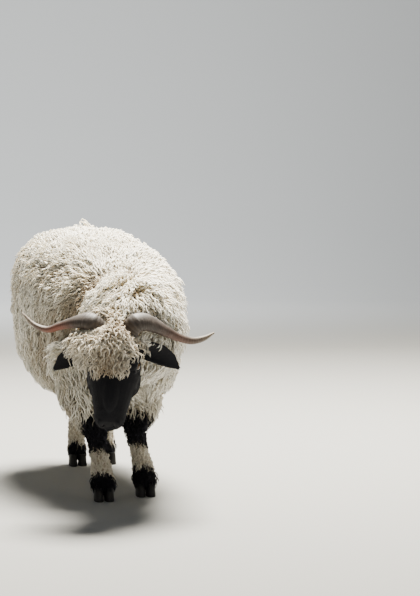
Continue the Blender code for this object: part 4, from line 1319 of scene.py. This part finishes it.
# name, which roots, lengths, turns, curl, width
for name, part, levels, turns, curl, width in (
        ("leg_wool", np.flatnonzero(~feet), 9, 1.5, 0.0028, 0.0022),
        ("foot_wool", np.flatnonzero(feet), 5, 0.7, 0.0015, 0.0016)):
    depth = (np.where(feet, FOOT_WOOL_DEPTH, LEG_COAT_DEPTH + 0.012 * high) * hind)[part]
    reach = np.where(feet, 0.0300, 0.019 + 0.022 * high)[part]
    lines = lock_lines(*taken((places, facings, lays), part), depth * (0.85 + 0.3 * chance[part]),
                       reach, curl, turns + 0.5 * chance[part], levels)
    # the wool's colour is darkened evenly as painted shade over the legs, with a random part on top
    lock_piece(name, wool, 3, width, lines, uvs[part], mark=mark[part], tone=chance[part],
               stain=0.25 + 0.2 * chance[part])

# %% [markdown]
# The crown's ringlets are the breed's wig. In front of the horns they fall over the
# forehead, lowest in its middle, and leave the skin round her left eye bare of wool;
# behind the horns they lie back on the neck. They have four sides and more lengths,
# because they are looked at most closely.

# %% Ringlets of the crown
RINGLET_LEVELS = 18
RINGLET_WIDTH = 0.0026
RINGLET_CURL = 0.0046
FORELOCK_END = 0.150

places, facings, uvs, _ = chosen_roots((CROWN_WOOL,), WOOL_DENSITY)
local = moved(HEAD_BACK, places)
side, ahead = local[:, 0], -local[:, 1]
back_lying = (ahead < -0.004) & (np.abs(side - 0.002) > 0.024)
fall = np.column_stack([np.clip((side - CROWN_SHIFT) / 0.06, -1, 1) * 0.38,
                        np.where(back_lying, 0.9, -1.0), np.full(len(places), -0.10)])
chance = rng.random(len(places))
lays = combed(with_head(fall), facings, 0.7 * (chance - 0.5))
# how far down the face each ringlet reaches: less at the sides, least by her left eye
end = FORELOCK_END + 0.010 * rng.random(len(places))
end -= 0.030 * ramp(np.abs(side - CROWN_SHIFT), 0.040, 0.080)
end -= 0.044 * ramp(side, 0.022, 0.050)
reach = np.where(back_lying, 0.030, np.clip(end - ahead, 0.014, 0.064))
height = CROWN_COAT_DEPTH * (0.70 + 0.5 * rng.random(len(places)))
lean, _ = leaning(places, facings, CROWN_STAPLE_SPACING)
curl = RINGLET_CURL * (0.8 + 0.4 * chance)
lines, kept = grown_clear(places, facings, lays, height, reach, curl, 2.0 + 1.2 * chance,
                          RINGLET_LEVELS, lean)
# the brownish stain down the middle of the forelock is real; the rest of the darkening is painted
# shade: over all the ringlets, which face away from the key, and more between the horns
middle_stain = swell(side, -0.018, 0.030) * ramp(ahead, 0.03, 0.08)
shade_between_horns = np.exp(-(ahead / 0.026) ** 2 - (side / 0.050) ** 2)
stain = 0.36 + 0.64 * middle_stain + 0.50 * shade_between_horns + 0.2 * (chance - 0.5)
stain = np.clip(stain, 0, 1)
lock_piece("crown_ringlets", wool, 4, RINGLET_WIDTH, taken(lines, kept), uvs[kept],
           mark=np.zeros(len(kept)), tone=0.35 * chance[kept], stain=stain[kept])

# %% [markdown]
# Face and ears have short flat hair. It lies from the nose back to the crown, and on the
# ears from their root to their tip. The bare nose, the lips and the lids get none.

# %% Hair of the face and ears
HAIR_CURL = 0.0002
HAIR_TURNS = 0.3
HAIR_WIDTH = 0.00065

places, facings, uvs, zone = chosen_roots((FACE, EAR), HAIR_DENSITY)
side = moved(HEAD_BACK, places)[:, 0]
brush = with_head(np.column_stack([0.35 * np.sign(side), np.full(len(places), 1.0),
                                   np.full(len(places), -0.25)]))
right_way, left_way = (np.array((Vector(path[-1]) - Vector(path[0])).normalized())
                       for path in (EAR_RIGHT, EAR_LEFT))
eared = zone == EAR
ear_way = np.where((side < 0)[:, None], right_way, left_way)
brush = np.where(eared[:, None], ear_way, brush)
chance = rng.random(len(places))
lays = combed(brush, facings, 0.6 * (chance - 0.5))
lines = lock_lines(places, facings, lays, np.where(eared, 0.0040, 0.0046),
                   np.where(eared, 0.0095, 0.0080) * (0.8 + 0.4 * chance), HAIR_CURL, HAIR_TURNS, 3)
lock_piece("face_hair", hair, 3, HAIR_WIDTH, lines, uvs, tone=chance)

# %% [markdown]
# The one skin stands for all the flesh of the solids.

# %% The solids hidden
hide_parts("torso", "neck", "head", "tail", "leg_front_right", "leg_front_left",
            "leg_hind_right", "leg_hind_left", "ear_right", "ear_left")
